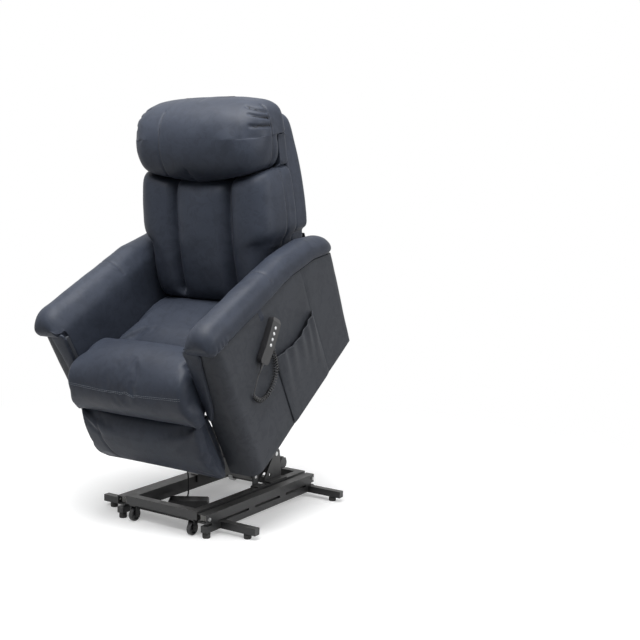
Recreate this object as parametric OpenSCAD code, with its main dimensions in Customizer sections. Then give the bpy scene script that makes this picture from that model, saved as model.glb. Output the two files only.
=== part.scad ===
// Power lift recliner: upholstered chair on a four-bar lift, carried by a frame
// that rolls forward in two floor rails. Modelled in millimetres, +Z up, facing -Y,
// with the lift raised. Seated sizes are given in a level "seated frame": y is
// measured from the front cross bar and z from the floor.

/* [Overall] */
// Width over the arm pads
chair_w = 780; // [750:5:820]
// Width between the arms
seat_w = 516; // [500:2:530]

/* [Floor base] */
// Distance between the outer feet, side to side
foot_span = 616; // [580:2:660]
// Distance between the front and rear cross bars
bar_pitch = 564; // [540:2:600]
// Width of a cross bar, front to back
bar_w = 26; // [20:1:32]
// Height of a cross bar
bar_h = 25; // [20:1:26]
// Diameter of a rubber foot
foot_d = 28; // [22:1:36]
// Height of a rubber foot
foot_h = 18; // [14:1:22]
// Length of the floor rails
rail_len = 685; // [670:5:700]
// Wall of the rail channels
rail_wall = 3; // [2:0.5:4]

/* [Rolling frame] */
// Width over the rolling frame
ring_w = 324; // [312:2:328]
// Size of its square tube
ring_tube = 30; // [26:1:32]
// Height of its top face above the floor
ring_top = 90; // [88:1:92]
// Diameter of a front wheel
wheel_d = 48; // [40:1:52]
// Width of a front wheel
wheel_w = 18; // [14:1:22]

/* [Lift] */
// Angle the chair tips forward when raised
lift_angle = 29.3; // [28:0.1:30]
// Thickness of the lift arm plates
arm_plate = 6; // [4:1:8]
// Diameter of the lift shafts
shaft_d = 16; // [12:1:18]
// Diameter of the lift actuator tube
act_tube_d = 40; // [34:1:44]
// Diameter of the actuator motors
motor_d = 50; // [44:1:54]

/* [Arms] */
// Length of a side panel
panel_len = 715; // [705:1:725]
// Corner radius of the side panel at the front
panel_r = 38; // [20:1:50]
// Wall of the arm box
panel_wall = 16; // [10:1:20]
// Overhang of the arm pad past the side panel
pad_over = 15; // [8:1:20]
// Height of the arm pad at the front
pad_h = 92; // [80:1:100]

/* [Seat and footrest] */
// Height of the seat at its front crown
seat_crown = 528; // [515:1:540]
// Thickness of the rear seat cushion
seat_t = 98; // [80:1:105]
// Height of the split between seat and footrest
split_z = 340; // [334:1:344]
// Thickness of the footrest pad
foot_pad_t = 62; // [50:1:70]
// Height of the lower edge of the footrest
foot_pad_low = 102; // [90:1:115]

/* [Back] */
// Lean of the back from upright
back_lean = 17.7; // [16:0.1:19]
// Width of the back cushion beyond the seat, at the top
back_over = 14; // [8:2:20]
// Depth of the sewn channels in the back cushion
channel_depth = 26; // [10:1:36]
// Swell of the back cushion's sides above the arms
back_bulge = 28; // [0:1:30]
// Width of the outer back shell beyond the seat
shell_over = 20; // [10:2:24]
// How much narrower each side of the shell is at its top
shell_taper = 16; // [0:1:20]
// Thickness of the outer back shell
shell_t = 92; // [70:1:100]
// Width of the headrest roll beyond the seat
head_over = 44; // [20:2:80]

/* [Handset and cords] */
// Length of the handset
handset_len = 160; // [150:1:170]
// Width of the handset
handset_w = 48; // [40:1:54]
// Thickness of the handset
handset_t = 23; // [20:1:24]
// Diameter of the handset cord
cord_d = 4; // [3:0.5:4.5]
// Outer diameter of the curls
curl_d = 15; // [13:0.5:16]
// Number of curls
curls = 30; // [20:1:34]
// Diameter of the power lead
lead_d = 6; // [5:0.5:7]

/* [Hidden] */

leather = [0.20, 0.22, 0.26];
leather_side = [0.25, 0.26, 0.28];
black_paint = [0.07, 0.07, 0.08];
zinc = [0.60, 0.61, 0.62];
plastic = [0.06, 0.06, 0.07];
rubber = [0.10, 0.10, 0.10];
timber = [0.70, 0.55, 0.38];
light_mark = [0.80, 0.82, 0.84];

// Moves the model so that the origin lies under the middle of its box
origin_y = -139;

fit = 0.05;          // running clearance round a pin
seat_gap = 0.3;      // clearance between soft pieces and their neighbours
side_gap = 2;        // clearance between links side by side

// --- Lift geometry, seated frame -------------------------------------------
pole = [-360, 348];          // the raised chair is the seated one turned about this line
arm_pivot = [428, 186];      // rear arm on its tower
link_pivot = [291, 124];     // front link on its lug
arm_top_z = 147;             // height of the arm's upper pivot, seated
link_top_z = 120;            // height of the link's upper pivot, seated
crank = [-100, -85];         // actuator crank from the arm pivot, raised
act_pivot = [577, 130];      // rear end of the lift actuator

function rot2(v, a) = [v[0] * cos(a) - v[1] * sin(a), v[0] * sin(a) + v[1] * cos(a)];
function dir2(v) = atan2(v[1], v[0]);
function lifted2(u) = pole + rot2(u - pole, lift_angle);
function moving_pivot(fixed, z) =
    let (a = dir2(fixed - pole) - lift_angle / 2) pole + (z - pole[1]) / sin(a) * [cos(a), sin(a)];
arm_top = moving_pivot(arm_pivot, arm_top_z);
link_top = moving_pivot(link_pivot, link_top_z);
arm_top_up = lifted2(arm_top);
link_top_up = lifted2(link_top);
crank_up = arm_pivot + crank;

// --- Widths across the mechanism, from the middle out ---------------------
ring_in = ring_w / 2 - ring_tube;
tower_t = 6;
tower_x = ring_in - tower_t;                 // inner face of the towers
link_t = 6;
link_x = tower_x - side_gap - link_t;        // inner face of the front links
arm_x = link_x - side_gap - 4 - arm_plate;   // inner face of the arm plates
rail_x = ring_w / 2 + 6;                     // open side of the rail channels
rail_out = rail_x + 36;
panel_out = chair_w / 2 - pad_over;
arm_in = seat_w / 2;
foot_x = foot_span / 2;
bar_over = 40;               // a cross bar runs this far past its feet

// --- Side panel outline, seated frame --------------------------------------
panel_front = -137;
panel_low = [panel_front, 89];
panel_low_rear = [panel_front + panel_len, 161];
panel_top_rear = [panel_front + panel_len + 24, 529];
panel_top = [-146, 596];
panel_shoulder = [330, 594];
panel_shoulder_2 = [480, 572];
panel_lean = atan((panel_low[0] - panel_top[0]) / (panel_top[1] - panel_low[1]));

// --- Footrest linkage, seated frame ----------------------------------------
foot_hinge = [-45, 299];     // lower links on the mechanism plates
lower_len = 189;
upper_len = 223;
foot_back = -165;            // rear face of the pad, where its board sits
foot_corner = [foot_back, split_z - 4];
foot_eye = foot_corner + [15, -179];         // upper links on the board's brackets
guide_eye = foot_corner + [24, -95];         // guide links, open at this pivot
guide_on_lower = [140, 14];  // along and across the lower link
link_eye_r = 13;
function triangle_apex(a, b, la, lb) =
    let (d = norm(b - a), s = (la * la - lb * lb + d * d) / (2 * d),
         h = sqrt(la * la - s * s), u = (b - a) / d) a + s * u + h * [-u[1], u[0]];
foot_knee = triangle_apex(foot_hinge, foot_eye, lower_len, upper_len);
lower_dir = (foot_knee - foot_hinge) / lower_len;
guide_root = foot_hinge + guide_on_lower[0] * lower_dir
             + guide_on_lower[1] * [-lower_dir[1], lower_dir[0]];
mech_t = 6;
mech_x = arm_in - 32;                        // inner face of the mechanism plates
lower_x = mech_x - side_gap - link_t;
upper_x = lower_x - side_gap - link_t;
bracket_x = upper_x - side_gap - link_t;
guide_x = bracket_x - side_gap - link_t;
foot_crank = foot_hinge + 65 * [cos(-21.9), sin(-21.9)];
recline_pivot = [440, 250];

// --- Back, in its own frame: y rearward, z up along the back -----------------
back_pivot = [430, 370];
back_front = -168;           // front of the cushion near the seat
shell_front = 38;
shell_low = 290;
shell_high = 722;
pivot_x = mech_x + mech_t + side_gap;
back_w = seat_w + back_over;
shell_w = seat_w + shell_over;
head_w = seat_w + head_over;

// --- Helpers ------------------------------------------------------------------
module in_base() translate([0, origin_y, 0]) children();
module in_chair() in_base() translate([0, pole[0], pole[1]]) rotate([lift_angle, 0, 0])
    translate([0, -pole[0], -pole[1]]) children();
module in_back() in_chair() translate([0, back_pivot[0], back_pivot[1]])
    rotate([-back_lean, 0, 0]) children();
// A flat outline in y and z, given thickness from x0 to x1
module yz(x0, x1) translate([x0, 0, 0]) rotate([90, 0, 90]) linear_extrude(x1 - x0) children();
module both() { children(); mirror([1, 0, 0]) children(); }
// A shaft along X through a point of the y, z plane
module shaft(p, d, x0, x1) translate([x0, p[0], p[1]]) rotate([0, 90, 0])
    cylinder(d = d, h = x1 - x0, $fn = 32);
// A flat link outline between two points, with round ends
module link2(a, b, w) {
    translate(a) circle(d = w, $fn = 32);
    translate(b) circle(d = w, $fn = 32);
    translate(a) rotate(dir2(b - a)) translate([0, 0.5 - w / 2]) square([norm(b - a), w - 1]);
}
module hole2(p, d) translate(p) circle(d = d, $fn = 32);
module box3(lo, hi) translate(lo) cube(hi - lo);

// Closed Catmull-Rom curve through a few points
function spline(p, steps) = let (n = len(p)) [for (i = [0 : n - 1], k = [0 : steps - 1])
    let (a = p[(i + n - 1) % n], b = p[i], c = p[(i + 1) % n], d = p[(i + 2) % n], t = k / steps)
    0.5 * (2 * b + (c - a) * t + (2 * a - 5 * b + 4 * c - d) * t * t
           + (3 * b - 3 * c + d - a) * t * t * t)];
function mean(p) = [for (k = [0 : 2]) let (v = [for (q = p) q[k]]) (v * [for (q = p) 1]) / len(p)];
// Closed skin over rings of points, fanned shut at both ends
module skin(rings) {
    n = len(rings[0]);
    m = len(rings);
    points = concat([for (r = rings) for (p = r) p], [mean(rings[0]), mean(rings[m - 1])]);
    walls = [for (j = [0 : m - 2], i = [0 : n - 1]) let (k = (i + 1) % n)
        each [[j * n + i, j * n + k, (j + 1) * n + k], [j * n + i, (j + 1) * n + k, (j + 1) * n + i]]];
    caps = [for (i = [0 : n - 1]) let (k = (i + 1) % n)
        each [[k, i, m * n], [(m - 1) * n + i, (m - 1) * n + k, m * n + 1]]];
    polyhedron(points, concat(walls, caps), convexity = 6);
}
// A cushion along X: a y, z outline drawn in towards both ends
end_steps = [-1, -0.975, -0.9, -0.75, -0.5, -0.2, 0.2, 0.5, 0.75, 0.9, 0.975, 1];
function draw_in(s, depth) = 1 - depth * pow(abs(s), 8);
module cushion(outline, half, depth, crown) {
    mid = mean([for (p = outline) [p[0], p[1], 0]]);
    skin([for (s = end_steps) let (k = draw_in(s, depth), up = crown * (1 - s * s))
        [for (p = outline) [half * s, mid[0] + (p[0] - mid[0]) * k,
            mid[1] + (p[1] - mid[1]) * k + (p[1] > mid[1] ? up : 0)]]]);
}

// --- Floor base -----------------------------------------------------------------
rail_front = -95;
channel_low = 52;
channel_high = 84;
lower_top = foot_h + bar_h;
rail_rear = rail_front + rail_len;
bolt_d = 8;
bolt_spots = [rail_front + 12, rail_rear - 12];
spacer_spots = [rail_front + 30, 150, 350, rail_rear - 60];

module base_rail() color(black_paint) in_base() difference() {
    union() {
        difference() {
            box3([rail_x, rail_front, channel_low], [rail_out, rail_rear, channel_high]);
            box3([rail_x - 1, rail_front - 1, channel_low + rail_wall],
                 [rail_out - rail_wall, rail_rear + 1, channel_high - rail_wall]);
        }
        box3([rail_out - bar_w, rail_front, foot_h + 2], [rail_out, rail_rear, lower_top]);
        for (y = spacer_spots)
            box3([rail_out - bar_w, y, lower_top - 1], [rail_out, y + 40, channel_low + 1]);
    }
    for (y = [0, bar_pitch])
        box3([rail_x - 10, y - bar_w / 2, 0], [rail_out + 1, y + bar_w / 2, lower_top]);
    for (y = bolt_spots) shaft([y, (channel_low + channel_high) / 2], bolt_d + 0.4,
                              rail_out - rail_wall - 1, rail_out + 1);
}
module base_rail_left() base_rail();
module base_rail_right() mirror([1, 0, 0]) base_rail();
module cross_bar(y) color(black_paint) in_base() translate([0, y, 0])
    box3([-foot_x - bar_over, -bar_w / 2, foot_h], [foot_x + bar_over, bar_w / 2, lower_top]);
module front_cross_bar() cross_bar(0);
module rear_cross_bar() cross_bar(bar_pitch);
inner_foot_y = rail_front + foot_d / 2 + 2;
module foot(h) {
    cylinder(d1 = foot_d - 3, d2 = foot_d, h = 3, $fn = 32);
    translate([0, 0, 3]) cylinder(d = foot_d, h = h - 7, $fn = 32);
    translate([0, 0, h - 4]) cylinder(d = foot_d - 8, h = 4, $fn = 32);
}
module rubber_feet() color(rubber) in_base() both() {
    for (y = [0, bar_pitch]) translate([foot_x, y, 0]) foot(foot_h);
    translate([rail_out - bar_w / 2, inner_foot_y, 0]) foot(foot_h + 2);
}
module rail_bolts() color(zinc) in_base() both()
    for (y = bolt_spots) {
        z = (channel_low + channel_high) / 2;
        translate([rail_out, y, z]) rotate([0, 90, 0]) cylinder(d = 14, h = 5, $fn = 6);
        shaft([y, z], bolt_d, rail_out - rail_wall, rail_out);
    }

// --- Power supply on the floor -----------------------------------------------------
brick_at = [-75, 152];
brick_turn = 33;
brick_size = [150, 64, 36];
brick_gland = [-18, brick_size[1] / 2];
brick_exit_z = 20;
module in_brick() in_base() translate([brick_at[0], brick_at[1], 0]) rotate(brick_turn) children();
module power_brick() color(plastic) in_brick() {
    difference() {
        union() {
            translate([0, 0, brick_size[2] / 2]) intersection() {
                linear_extrude(brick_size[2], center = true) round_rect(brick_size[0], brick_size[1], 10);
                rotate([90, 0, 0]) linear_extrude(brick_size[1] + 2, center = true)
                    round_rect(brick_size[0] + 0.1, brick_size[2], 8);
            }
            translate([brick_gland[0], brick_gland[1] - 1, brick_exit_z]) rotate([-90, 0, 0])
                cylinder(d1 = lead_d + 6, d2 = lead_d + 3, h = 13, $fn = 24);
        }
        // Mains inlet
        translate([brick_size[0] / 2 - 12, 0, brick_size[2] / 2]) rotate([90, 0, 90]) difference() {
            linear_extrude(20) round_rect(27, 19, 3);
            for (k = [-1 : 1]) translate([k * 7, k == 0 ? 3 : -1, 1])
                cylinder(d = 3, h = 10, $fn = 16);
        }
    }
}
module round_rect(w, h, r) {
    square([w - 2 * r, h], center = true);
    square([w, h - 2 * r], center = true);
    for (x = [-1, 1], y = [-1, 1]) translate([x * (w / 2 - r), y * (h / 2 - r)]) circle(r, $fn = 32);
}
// Tube swept along a smooth open line
function open_spline(p, steps) = let (n = len(p)) concat([for (i = [0 : n - 2], k = [0 : steps - 1])
    let (a = p[max(i - 1, 0)], b = p[i], c = p[i + 1], d = p[min(i + 2, n - 1)], t = k / steps)
    0.5 * (2 * b + (c - a) * t + (2 * a - 5 * b + 4 * c - d) * t * t
           + (3 * b - 3 * c + d - a) * t * t * t)], [p[n - 1]]);
function unit(v) = v / norm(v);
// Ends keep the direction given in first and last; the up vector must never lie along the line
module tube_along(line, d, sides, up, first, last) {
    m = len(line);
    skin([for (j = [0 : m - 1])
        let (t = j == 0 ? first : j == m - 1 ? last : unit(line[j + 1] - line[j - 1]),
             a = unit(cross(t, up)), b = cross(t, a))
        [for (i = [0 : sides - 1]) line[j] + d / 2 * (cos(360 * i / sides) * a + sin(360 * i / sides) * b)]]);
}
socket_seated = [-48, 76];       // y and z of the socket's mouth under the front tie
socket_x = -62;
socket_yz = lifted2(socket_seated);
socket_up = [socket_x, socket_yz[0], socket_yz[1]];
socket_axis = [0, -sin(lift_angle), cos(lift_angle)];
brick_exit = [brick_at[0], brick_at[1], brick_exit_z]
    + [for (k = rot2([brick_gland[0], brick_gland[1] + 12.3], brick_turn)) k] * [[1, 0, 0], [0, 1, 0]];
out_dir = [-sin(brick_turn), cos(brick_turn), 0];
lead_route = [brick_exit, brick_exit + 7 * out_dir, [-118, 198, 28], [-116, 200, 46], [-110, 192, 90],
              [-101, 174, 135], [-90, 146, 176], [-78, 108, 212], [-68, 74, 236],
              socket_up - 18 * socket_axis, socket_up - 8 * socket_axis, socket_up];
module power_lead() color(plastic) in_base()
    tube_along(open_spline(lead_route, 3), lead_d, 8, [1, 0.2, 0], out_dir, socket_axis);

// --- Rolling frame --------------------------------------------------------------------
ring_front = rail_front - 1;
ring_len = rail_len;
ring_low = ring_top - ring_tube;
block_spots = [rail_front + 20, rail_front + 340];
module rolling_frame() color(black_paint) in_base() {
    difference() {
        box3([-ring_w / 2, ring_front, ring_low], [ring_w / 2, ring_front + ring_len, ring_top]);
        box3([-ring_in, ring_front + ring_tube, ring_low - 1],
             [ring_in, ring_front + ring_len - ring_tube, ring_top + 1]);
    }
    // Clevis for the lift actuator on the rear bar
    difference() {
        both() yz(13, 18) link2(act_pivot, [act_pivot[0], ring_top + 8], 24);
        box3([-20, act_pivot[0] - 30, ring_low - 10], [20, act_pivot[0] + 30, ring_top - 0.01]);
    }
    shaft(act_pivot, 10, -18, 18);
}
module slide_blocks() color([0.85, 0.85, 0.82]) in_base() both() for (y = block_spots)
    box3([ring_w / 2, y, channel_low + rail_wall + 0.5],
         [rail_out - rail_wall - 0.5, y + 60, channel_high - rail_wall - 0.5]);
wheel_x = ring_w / 2 - 30;
wheel_y = ring_front + 13;
axle_d = 8;
module wheel_forks() color(black_paint) in_base() both() {
    difference() {
        union() {
            box3([wheel_x - wheel_w / 2 - 5, wheel_y - 13, ring_low - 4],
                 [wheel_x + wheel_w / 2 + 5, wheel_y + 22, ring_low]);
            for (x = [wheel_x - wheel_w / 2 - 5, wheel_x + wheel_w / 2 + 2])
                yz(x, x + 3) link2([wheel_y, wheel_d / 2], [wheel_y + 4, ring_low - 10], 20);
        }
        box3([0, -200, ring_low], [200, 200, ring_low + 20]);
    }
    shaft([wheel_y, wheel_d / 2], axle_d, wheel_x - wheel_w / 2 - 6, wheel_x + wheel_w / 2 + 6);
}
module wheel(x) color(plastic) in_base() translate([x - wheel_w / 2, wheel_y, wheel_d / 2])
    rotate([0, 90, 0]) rotate_extrude($fn = 48) polygon([
        [axle_d / 2 + fit, 0], [8, 0], [8, 4], [wheel_d / 2 - 7, 6], [wheel_d / 2 - 6, 1],
        [wheel_d / 2 - 2, 1], [wheel_d / 2, 3], [wheel_d / 2, wheel_w - 3],
        [wheel_d / 2 - 2, wheel_w - 1], [wheel_d / 2 - 6, wheel_w - 1],
        [wheel_d / 2 - 7, wheel_w - 6], [8, wheel_w - 4], [8, wheel_w], [axle_d / 2 + fit, wheel_w]]);
module wheel_left() wheel(wheel_x);
module wheel_right() wheel(-wheel_x);

link_pin_d = 12;
module lift_towers() color(black_paint) in_base() both() {
    difference() {
        union() {
            yz(tower_x, ring_in) {
                polygon([[arm_pivot[0] - 78, ring_low + 4], [arm_pivot[0] + 34, ring_low + 4],
                         [arm_pivot[0] + 34, ring_top + 22], [arm_pivot[0] + 22, arm_pivot[1]],
                         [arm_pivot[0] - 22, arm_pivot[1]], [arm_pivot[0] - 78, ring_top + 14]]);
                translate(arm_pivot) circle(r = 22, $fn = 48);
            }
            box3([tower_x, arm_pivot[0] - 78, ring_top], [ring_w / 2 - 2, arm_pivot[0] + 34, ring_top + 4]);
        }
        shaft(arm_pivot, shaft_d + 2 * fit, 0, ring_w);
        yz(tower_x - 1, ring_in + 1) hole2([arm_pivot[0] - 40, ring_top + 22], 14);
    }
    difference() {
        union() {
            yz(tower_x, ring_in) {
                link2(link_pivot, [link_pivot[0], ring_low + 18], 30);
                translate([link_pivot[0] - 24, ring_low + 4]) square([48, 28]);
            }
            box3([tower_x, link_pivot[0] - 24, ring_top], [ring_w / 2 - 2, link_pivot[0] + 24, ring_top + 4]);
        }
        shaft(link_pivot, link_pin_d + 2 * fit, 0, ring_w);
    }
}
module lower_pivot_pins() color(zinc) in_base() {
    shaft(arm_pivot, shaft_d, -ring_in - 1, ring_in + 1);
    both() shaft(link_pivot, link_pin_d, link_x - 1, ring_in + 1);
}

// --- Lift arms, links and actuator, raised ------------------------------------------
arm_belly = [165, 226];
arm_shoulder = [286, 292];
web_t = 4;
crank_tube_d = 22;
arm_depth = 44;
module arm_outline() {
    polygon([crank_up + [6, -10], arm_pivot + [16, -12], arm_pivot + [14, 16], arm_shoulder,
             arm_top_up + [14, 16], arm_top_up + [-16, -12], arm_belly, crank_up + [-8, -8]]);
    translate(arm_pivot) circle(d = arm_depth - 4, $fn = 48);
    translate(arm_top_up) circle(d = arm_depth - 4, $fn = 48);
    translate(crank_up) circle(d = crank_tube_d + 8, $fn = 48);
}
web_dir = dir2(arm_belly - crank_up);
module lift_arms() color(black_paint) in_base() {
    difference() {
        union() {
            both() yz(arm_x, arm_x + arm_plate) difference() {
                arm_outline();
                hole2((arm_belly + arm_shoulder) / 2 + [16, -14], 40);
            }
            yz(-arm_x - 1, arm_x + 1) translate(crank_up + [-8, -8]) rotate(web_dir)
                translate([14, -web_t]) square([norm(arm_belly - crank_up) - 14, web_t]);
        }
        shaft(crank_up, 54, -13, 13);
        shaft(arm_pivot, shaft_d + 2 * fit, -ring_w, ring_w);
        shaft(arm_top_up, shaft_d + 2 * fit, -ring_w, ring_w);
    }
    shaft(crank_up, crank_tube_d, -arm_x - 1, arm_x + 1);
}
module power_socket() color(plastic) in_chair() difference() {
    box3([socket_x - 16, socket_seated[0] - 12, socket_seated[1]],
         [socket_x + 16, socket_seated[0] + 12, tie_low]);
    box3([socket_x - 17, socket_seated[0] - 13, socket_seated[1] - 1],
         [socket_x - 12, socket_seated[0] + 13, socket_seated[1] + 6]);
}
open_play = 6;               // play round the pivot where the lift loop is opened
module lift_links() color(black_paint) in_base() both() difference() {
    yz(link_x, link_x + link_t) {
        link2(link_pivot, link_top_up, 24);
        translate(link_top_up) circle(d = 32, $fn = 48);
    }
    shaft(link_pivot, link_pin_d + 2 * fit, 0, ring_w);
    shaft(link_top_up, 8 + 2 * open_play, 0, ring_w);
}
act_dir = dir2(crank_up - act_pivot);
act_body_len = 162;
act_rod_in = 140;            // inner end of the rod with the lift raised
act_len_up = norm(crank_up - act_pivot);
module along_actuator() in_base() translate([0, act_pivot[0], act_pivot[1]])
    rotate([act_dir, 0, 0]) children();
rod_d = 20;
module lift_actuator_body() color(plastic) along_actuator() {
    difference() {
        union() {
            yz(-11, 11) translate([-14, -14]) square([48, 28]);
            translate([-25, 25, -25]) cube([50, 49, 50]);
            translate([0, 60, 0]) rotate([-90, 0, 0]) cylinder(d = act_tube_d, h = act_body_len - 60, $fn = 48);
            translate([0, act_body_len - 8, 0]) rotate([-90, 0, 0])
                cylinder(d = act_tube_d + 4, h = 8, $fn = 48);
        }
        shaft([0, 0], 10 + 2 * fit, -30, 30);
        translate([0, 76, 0]) rotate([-90, 0, 0])
            cylinder(d = rod_d + 2 * fit, h = act_body_len, $fn = 48);
    }
    // Motor across the gearbox
    translate([25, 49, 0]) rotate([0, 90, 0]) {
        cylinder(d = motor_d - 6, h = 6, $fn = 48);
        translate([0, 0, 6]) cylinder(d = motor_d, h = 58, $fn = 48);
        translate([0, 0, 64]) cylinder(d = motor_d - 8, h = 10, $fn = 48);
        for (a = [45, 135, 225, 315]) rotate(a) translate([motor_d / 2 - 5, 0, 62])
            cylinder(d = 7, h = 12, $fn = 16);
    }
}
rod_eye_in = 15.5;           // bore round the crank tube, with room for its path
module lift_actuator_rod() color(zinc) along_actuator() {
    difference() {
        union() {
            translate([0, act_rod_in, 0]) rotate([-90, 0, 0])
                cylinder(d = rod_d, h = act_len_up - act_rod_in - rod_eye_in - 1, $fn = 48);
            yz(-9, 9) translate([act_len_up, 0]) circle(r = rod_eye_in + 4, $fn = 48);
        }
        shaft([act_len_up, 0], 2 * rod_eye_in, -30, 30);
    }
}

// --- Upper lift frame and mechanism, on the chair -------------------------------------
top_rail_low = ring_top + 6;
top_rail_high = top_rail_low + 30;
top_rail_x = tower_x + tower_t + 3;
top_front = -85;
top_rear = 500;
lug_t = 6;
tie_low = top_rail_low + 2;
tie_y = [-62, -36];
channel_y = [102, 466];
channel_w = 30;
channel_h = 22;
module lift_top_frame() color(black_paint) in_chair() {
    difference() {
        union() {
            both() box3([top_rail_x, top_front, top_rail_low], [top_rail_x + 30, top_rear, top_rail_high]);
            box3([-top_rail_x - 1, tie_y[0], tie_low], [top_rail_x + 1, tie_y[1], top_rail_high - 2]);
            // The rear channel runs across; the front one leaves room for the lift arms
            box3([-mech_x, channel_y[1], top_rail_high], [mech_x, channel_y[1] + channel_w, top_rail_high + channel_h]);
            both() box3([top_rail_x, channel_y[0], top_rail_high - 1],
                        [mech_x, channel_y[0] + channel_w, top_rail_high + channel_h]);
            both() yz(top_rail_x, top_rail_x + lug_t)
                link2(arm_top, [arm_top[0], top_rail_low + 20], 38);
        }
        shaft(arm_top, shaft_d + 2 * fit, -ring_w, ring_w);
        both() shaft(link_top, 8 + 2 * fit, top_rail_x - 1, top_rail_x + 14);
    }
}
module upper_pivot_pins() color(zinc) in_chair() {
    shaft(arm_top, shaft_d, -top_rail_x - lug_t - 1, top_rail_x + lug_t + 1);
    both() shaft(link_top, 8, link_x + 0.5, top_rail_x + 13);
}
mech_pin_d = 12;
module mech_outline() polygon([
    [channel_y[0] - 8, top_rail_high], [channel_y[1] + channel_w, top_rail_high],
    [channel_y[1] + channel_w - 6, 240], [back_pivot[0] + 18, back_pivot[1]],
    [back_pivot[0] - 18, back_pivot[1]], [390, 300], [120, 262], [foot_hinge[0] + 14, foot_hinge[1] + 15],
    [foot_hinge[0] - 16, foot_hinge[1] - 12], [-10, 262], [72, 210]]);
module mechanism_plates() color(black_paint) in_chair() {
    both() difference() {
        yz(mech_x, mech_x + mech_t) {
            mech_outline();
            translate(back_pivot) circle(r = 18, $fn = 48);
            translate(foot_hinge) circle(r = 20, $fn = 48);
        }
        yz(mech_x - 1, mech_x + mech_t + 1) {
            hole2([125, 205], 50);
            hole2([235, 205], 56);
            hole2([340, 210], 56);
        }
        shaft(back_pivot, mech_pin_d + 2 * fit, mech_x - 1, mech_x + mech_t + 1);
    }
    both() shaft(foot_hinge, mech_pin_d, lower_x - 2, mech_x + 1);
    shaft([recline_pivot[0], recline_pivot[1]], 20, -mech_x, mech_x);
}

// --- Arms ---------------------------------------------------------------------------
module panel_outline() polygon([panel_low, panel_low_rear, panel_top_rear, panel_shoulder_2,
                                panel_shoulder, panel_top]);
module panel_plan() intersection() {
    translate([arm_in + 5, panel_top[0] - 1]) {
        difference() {
            square([panel_out - arm_in - 5, 900]);
            translate([panel_out - arm_in - 5 - panel_r, 0]) square([panel_r + 1, panel_r]);
        }
        translate([panel_out - arm_in - 5 - panel_r, panel_r]) circle(r = panel_r, $fn = 64);
    }
    square([panel_out, 2000], center = false);
    translate([0, -1000]) square([panel_out, 3000]);
}
inner_t = 27;
module side_panel() color(leather_side) in_chair() difference() {
    intersection() {
        yz(arm_in + 5, panel_out) panel_outline();
        translate([0, panel_low[0] + 1, panel_low[1]]) rotate([panel_lean, 0, 0])
            translate([0, -panel_top[0], -100]) linear_extrude(900)
                translate([0, 0]) plan_corner();
    }
    // Hollow arm box, open below and towards the seat
    yz(arm_in, panel_out - panel_wall) polygon([
        panel_low + [panel_wall + 2, -50], panel_low_rear + [-panel_wall, -60],
        panel_top_rear + [-panel_wall, -panel_wall], panel_shoulder_2 + [0, -panel_wall],
        panel_shoulder + [0, -panel_wall], panel_top + [panel_wall + 2, -panel_wall]]);
    box3([arm_in, panel_top[0] + panel_wall + 2, 0], [arm_in + inner_t + 2, 900, 900]);
}
// Plan of the panel: square at the seat side, rounded at the outer front corner
module plan_corner() {
    w = panel_out - arm_in - 5;
    translate([arm_in + 5, panel_top[0]]) {
        square([w - panel_r, 900]);
        translate([0, panel_r]) square([w, 900]);
        translate([w - panel_r, panel_r]) circle(r = panel_r, $fn = 64);
    }
}
module side_panel_left() side_panel();
module side_panel_right() mirror([1, 0, 0]) side_panel();
inner_front = panel_top[0] + panel_wall + 3;
inner_rear = panel_top_rear[0] - 2;
inner_low = 150;
module inner_arm() color(leather) in_chair() intersection() {
    translate([0, inner_rear, 0]) rotate([90, 0, 0]) linear_extrude(inner_rear - inner_front)
        polygon([[arm_in, inner_low], [arm_in, 500], [arm_in + 6, 560], [arm_in + 14, 590],
                 [arm_in + inner_t, 590], [arm_in + inner_t, inner_low]]);
    yz(arm_in - 1, arm_in + inner_t + 1) polygon([
        [inner_front, inner_low], [panel_low_rear[0] - 12, panel_low_rear[1] + 12],
        [panel_top_rear[0] - 14, panel_top_rear[1] - 6], panel_shoulder_2 + [0, -6],
        panel_shoulder + [0, -6], [inner_front, panel_top[1] - 6]]);
}
module inner_arm_left() inner_arm();
module inner_arm_right() mirror([1, 0, 0]) inner_arm();

// Arm pad: rolled over the top of the arm, lofted from front to rear
pad_rear = panel_top_rear[0] + 9;
pad_y = [-150, -146, -128, -90, -20, 100, 220, 330, 410, 480,
         pad_rear - 81, pad_rear - 41, pad_rear - 17, pad_rear - 7, pad_rear - 2];
function pad_under(y) = y < panel_shoulder[0] ? panel_top[1]
    + (y - panel_top[0]) / (panel_shoulder[0] - panel_top[0]) * (panel_shoulder[1] - panel_top[1])
    : y < panel_shoulder_2[0] ? panel_shoulder[1] + (y - panel_shoulder[0])
      / (panel_shoulder_2[0] - panel_shoulder[0]) * (panel_shoulder_2[1] - panel_shoulder[1])
    : panel_shoulder_2[1] + (y - panel_shoulder_2[0])
      / (panel_top_rear[0] - panel_shoulder_2[0]) * (panel_top_rear[1] - panel_shoulder_2[1]);
function pad_high(y) = pad_h - 0.02 * (y + 150) - 0.00002 * pow(max(y - 200, 0), 2);
function pad_close(y) = let (a = (y + 152) / 60, b = (pad_rear - y) / 90)
    pow(max(0.03, 1 - pow(1 - min(a, 1), 2)), 0.5) * pow(max(0.03, 1 - pow(1 - min(b, 1), 2)), 0.5);
function pad_inner(y) = arm_in + 4 + (y < 430 ? 0 : 0.10 * (y - 430));
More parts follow.
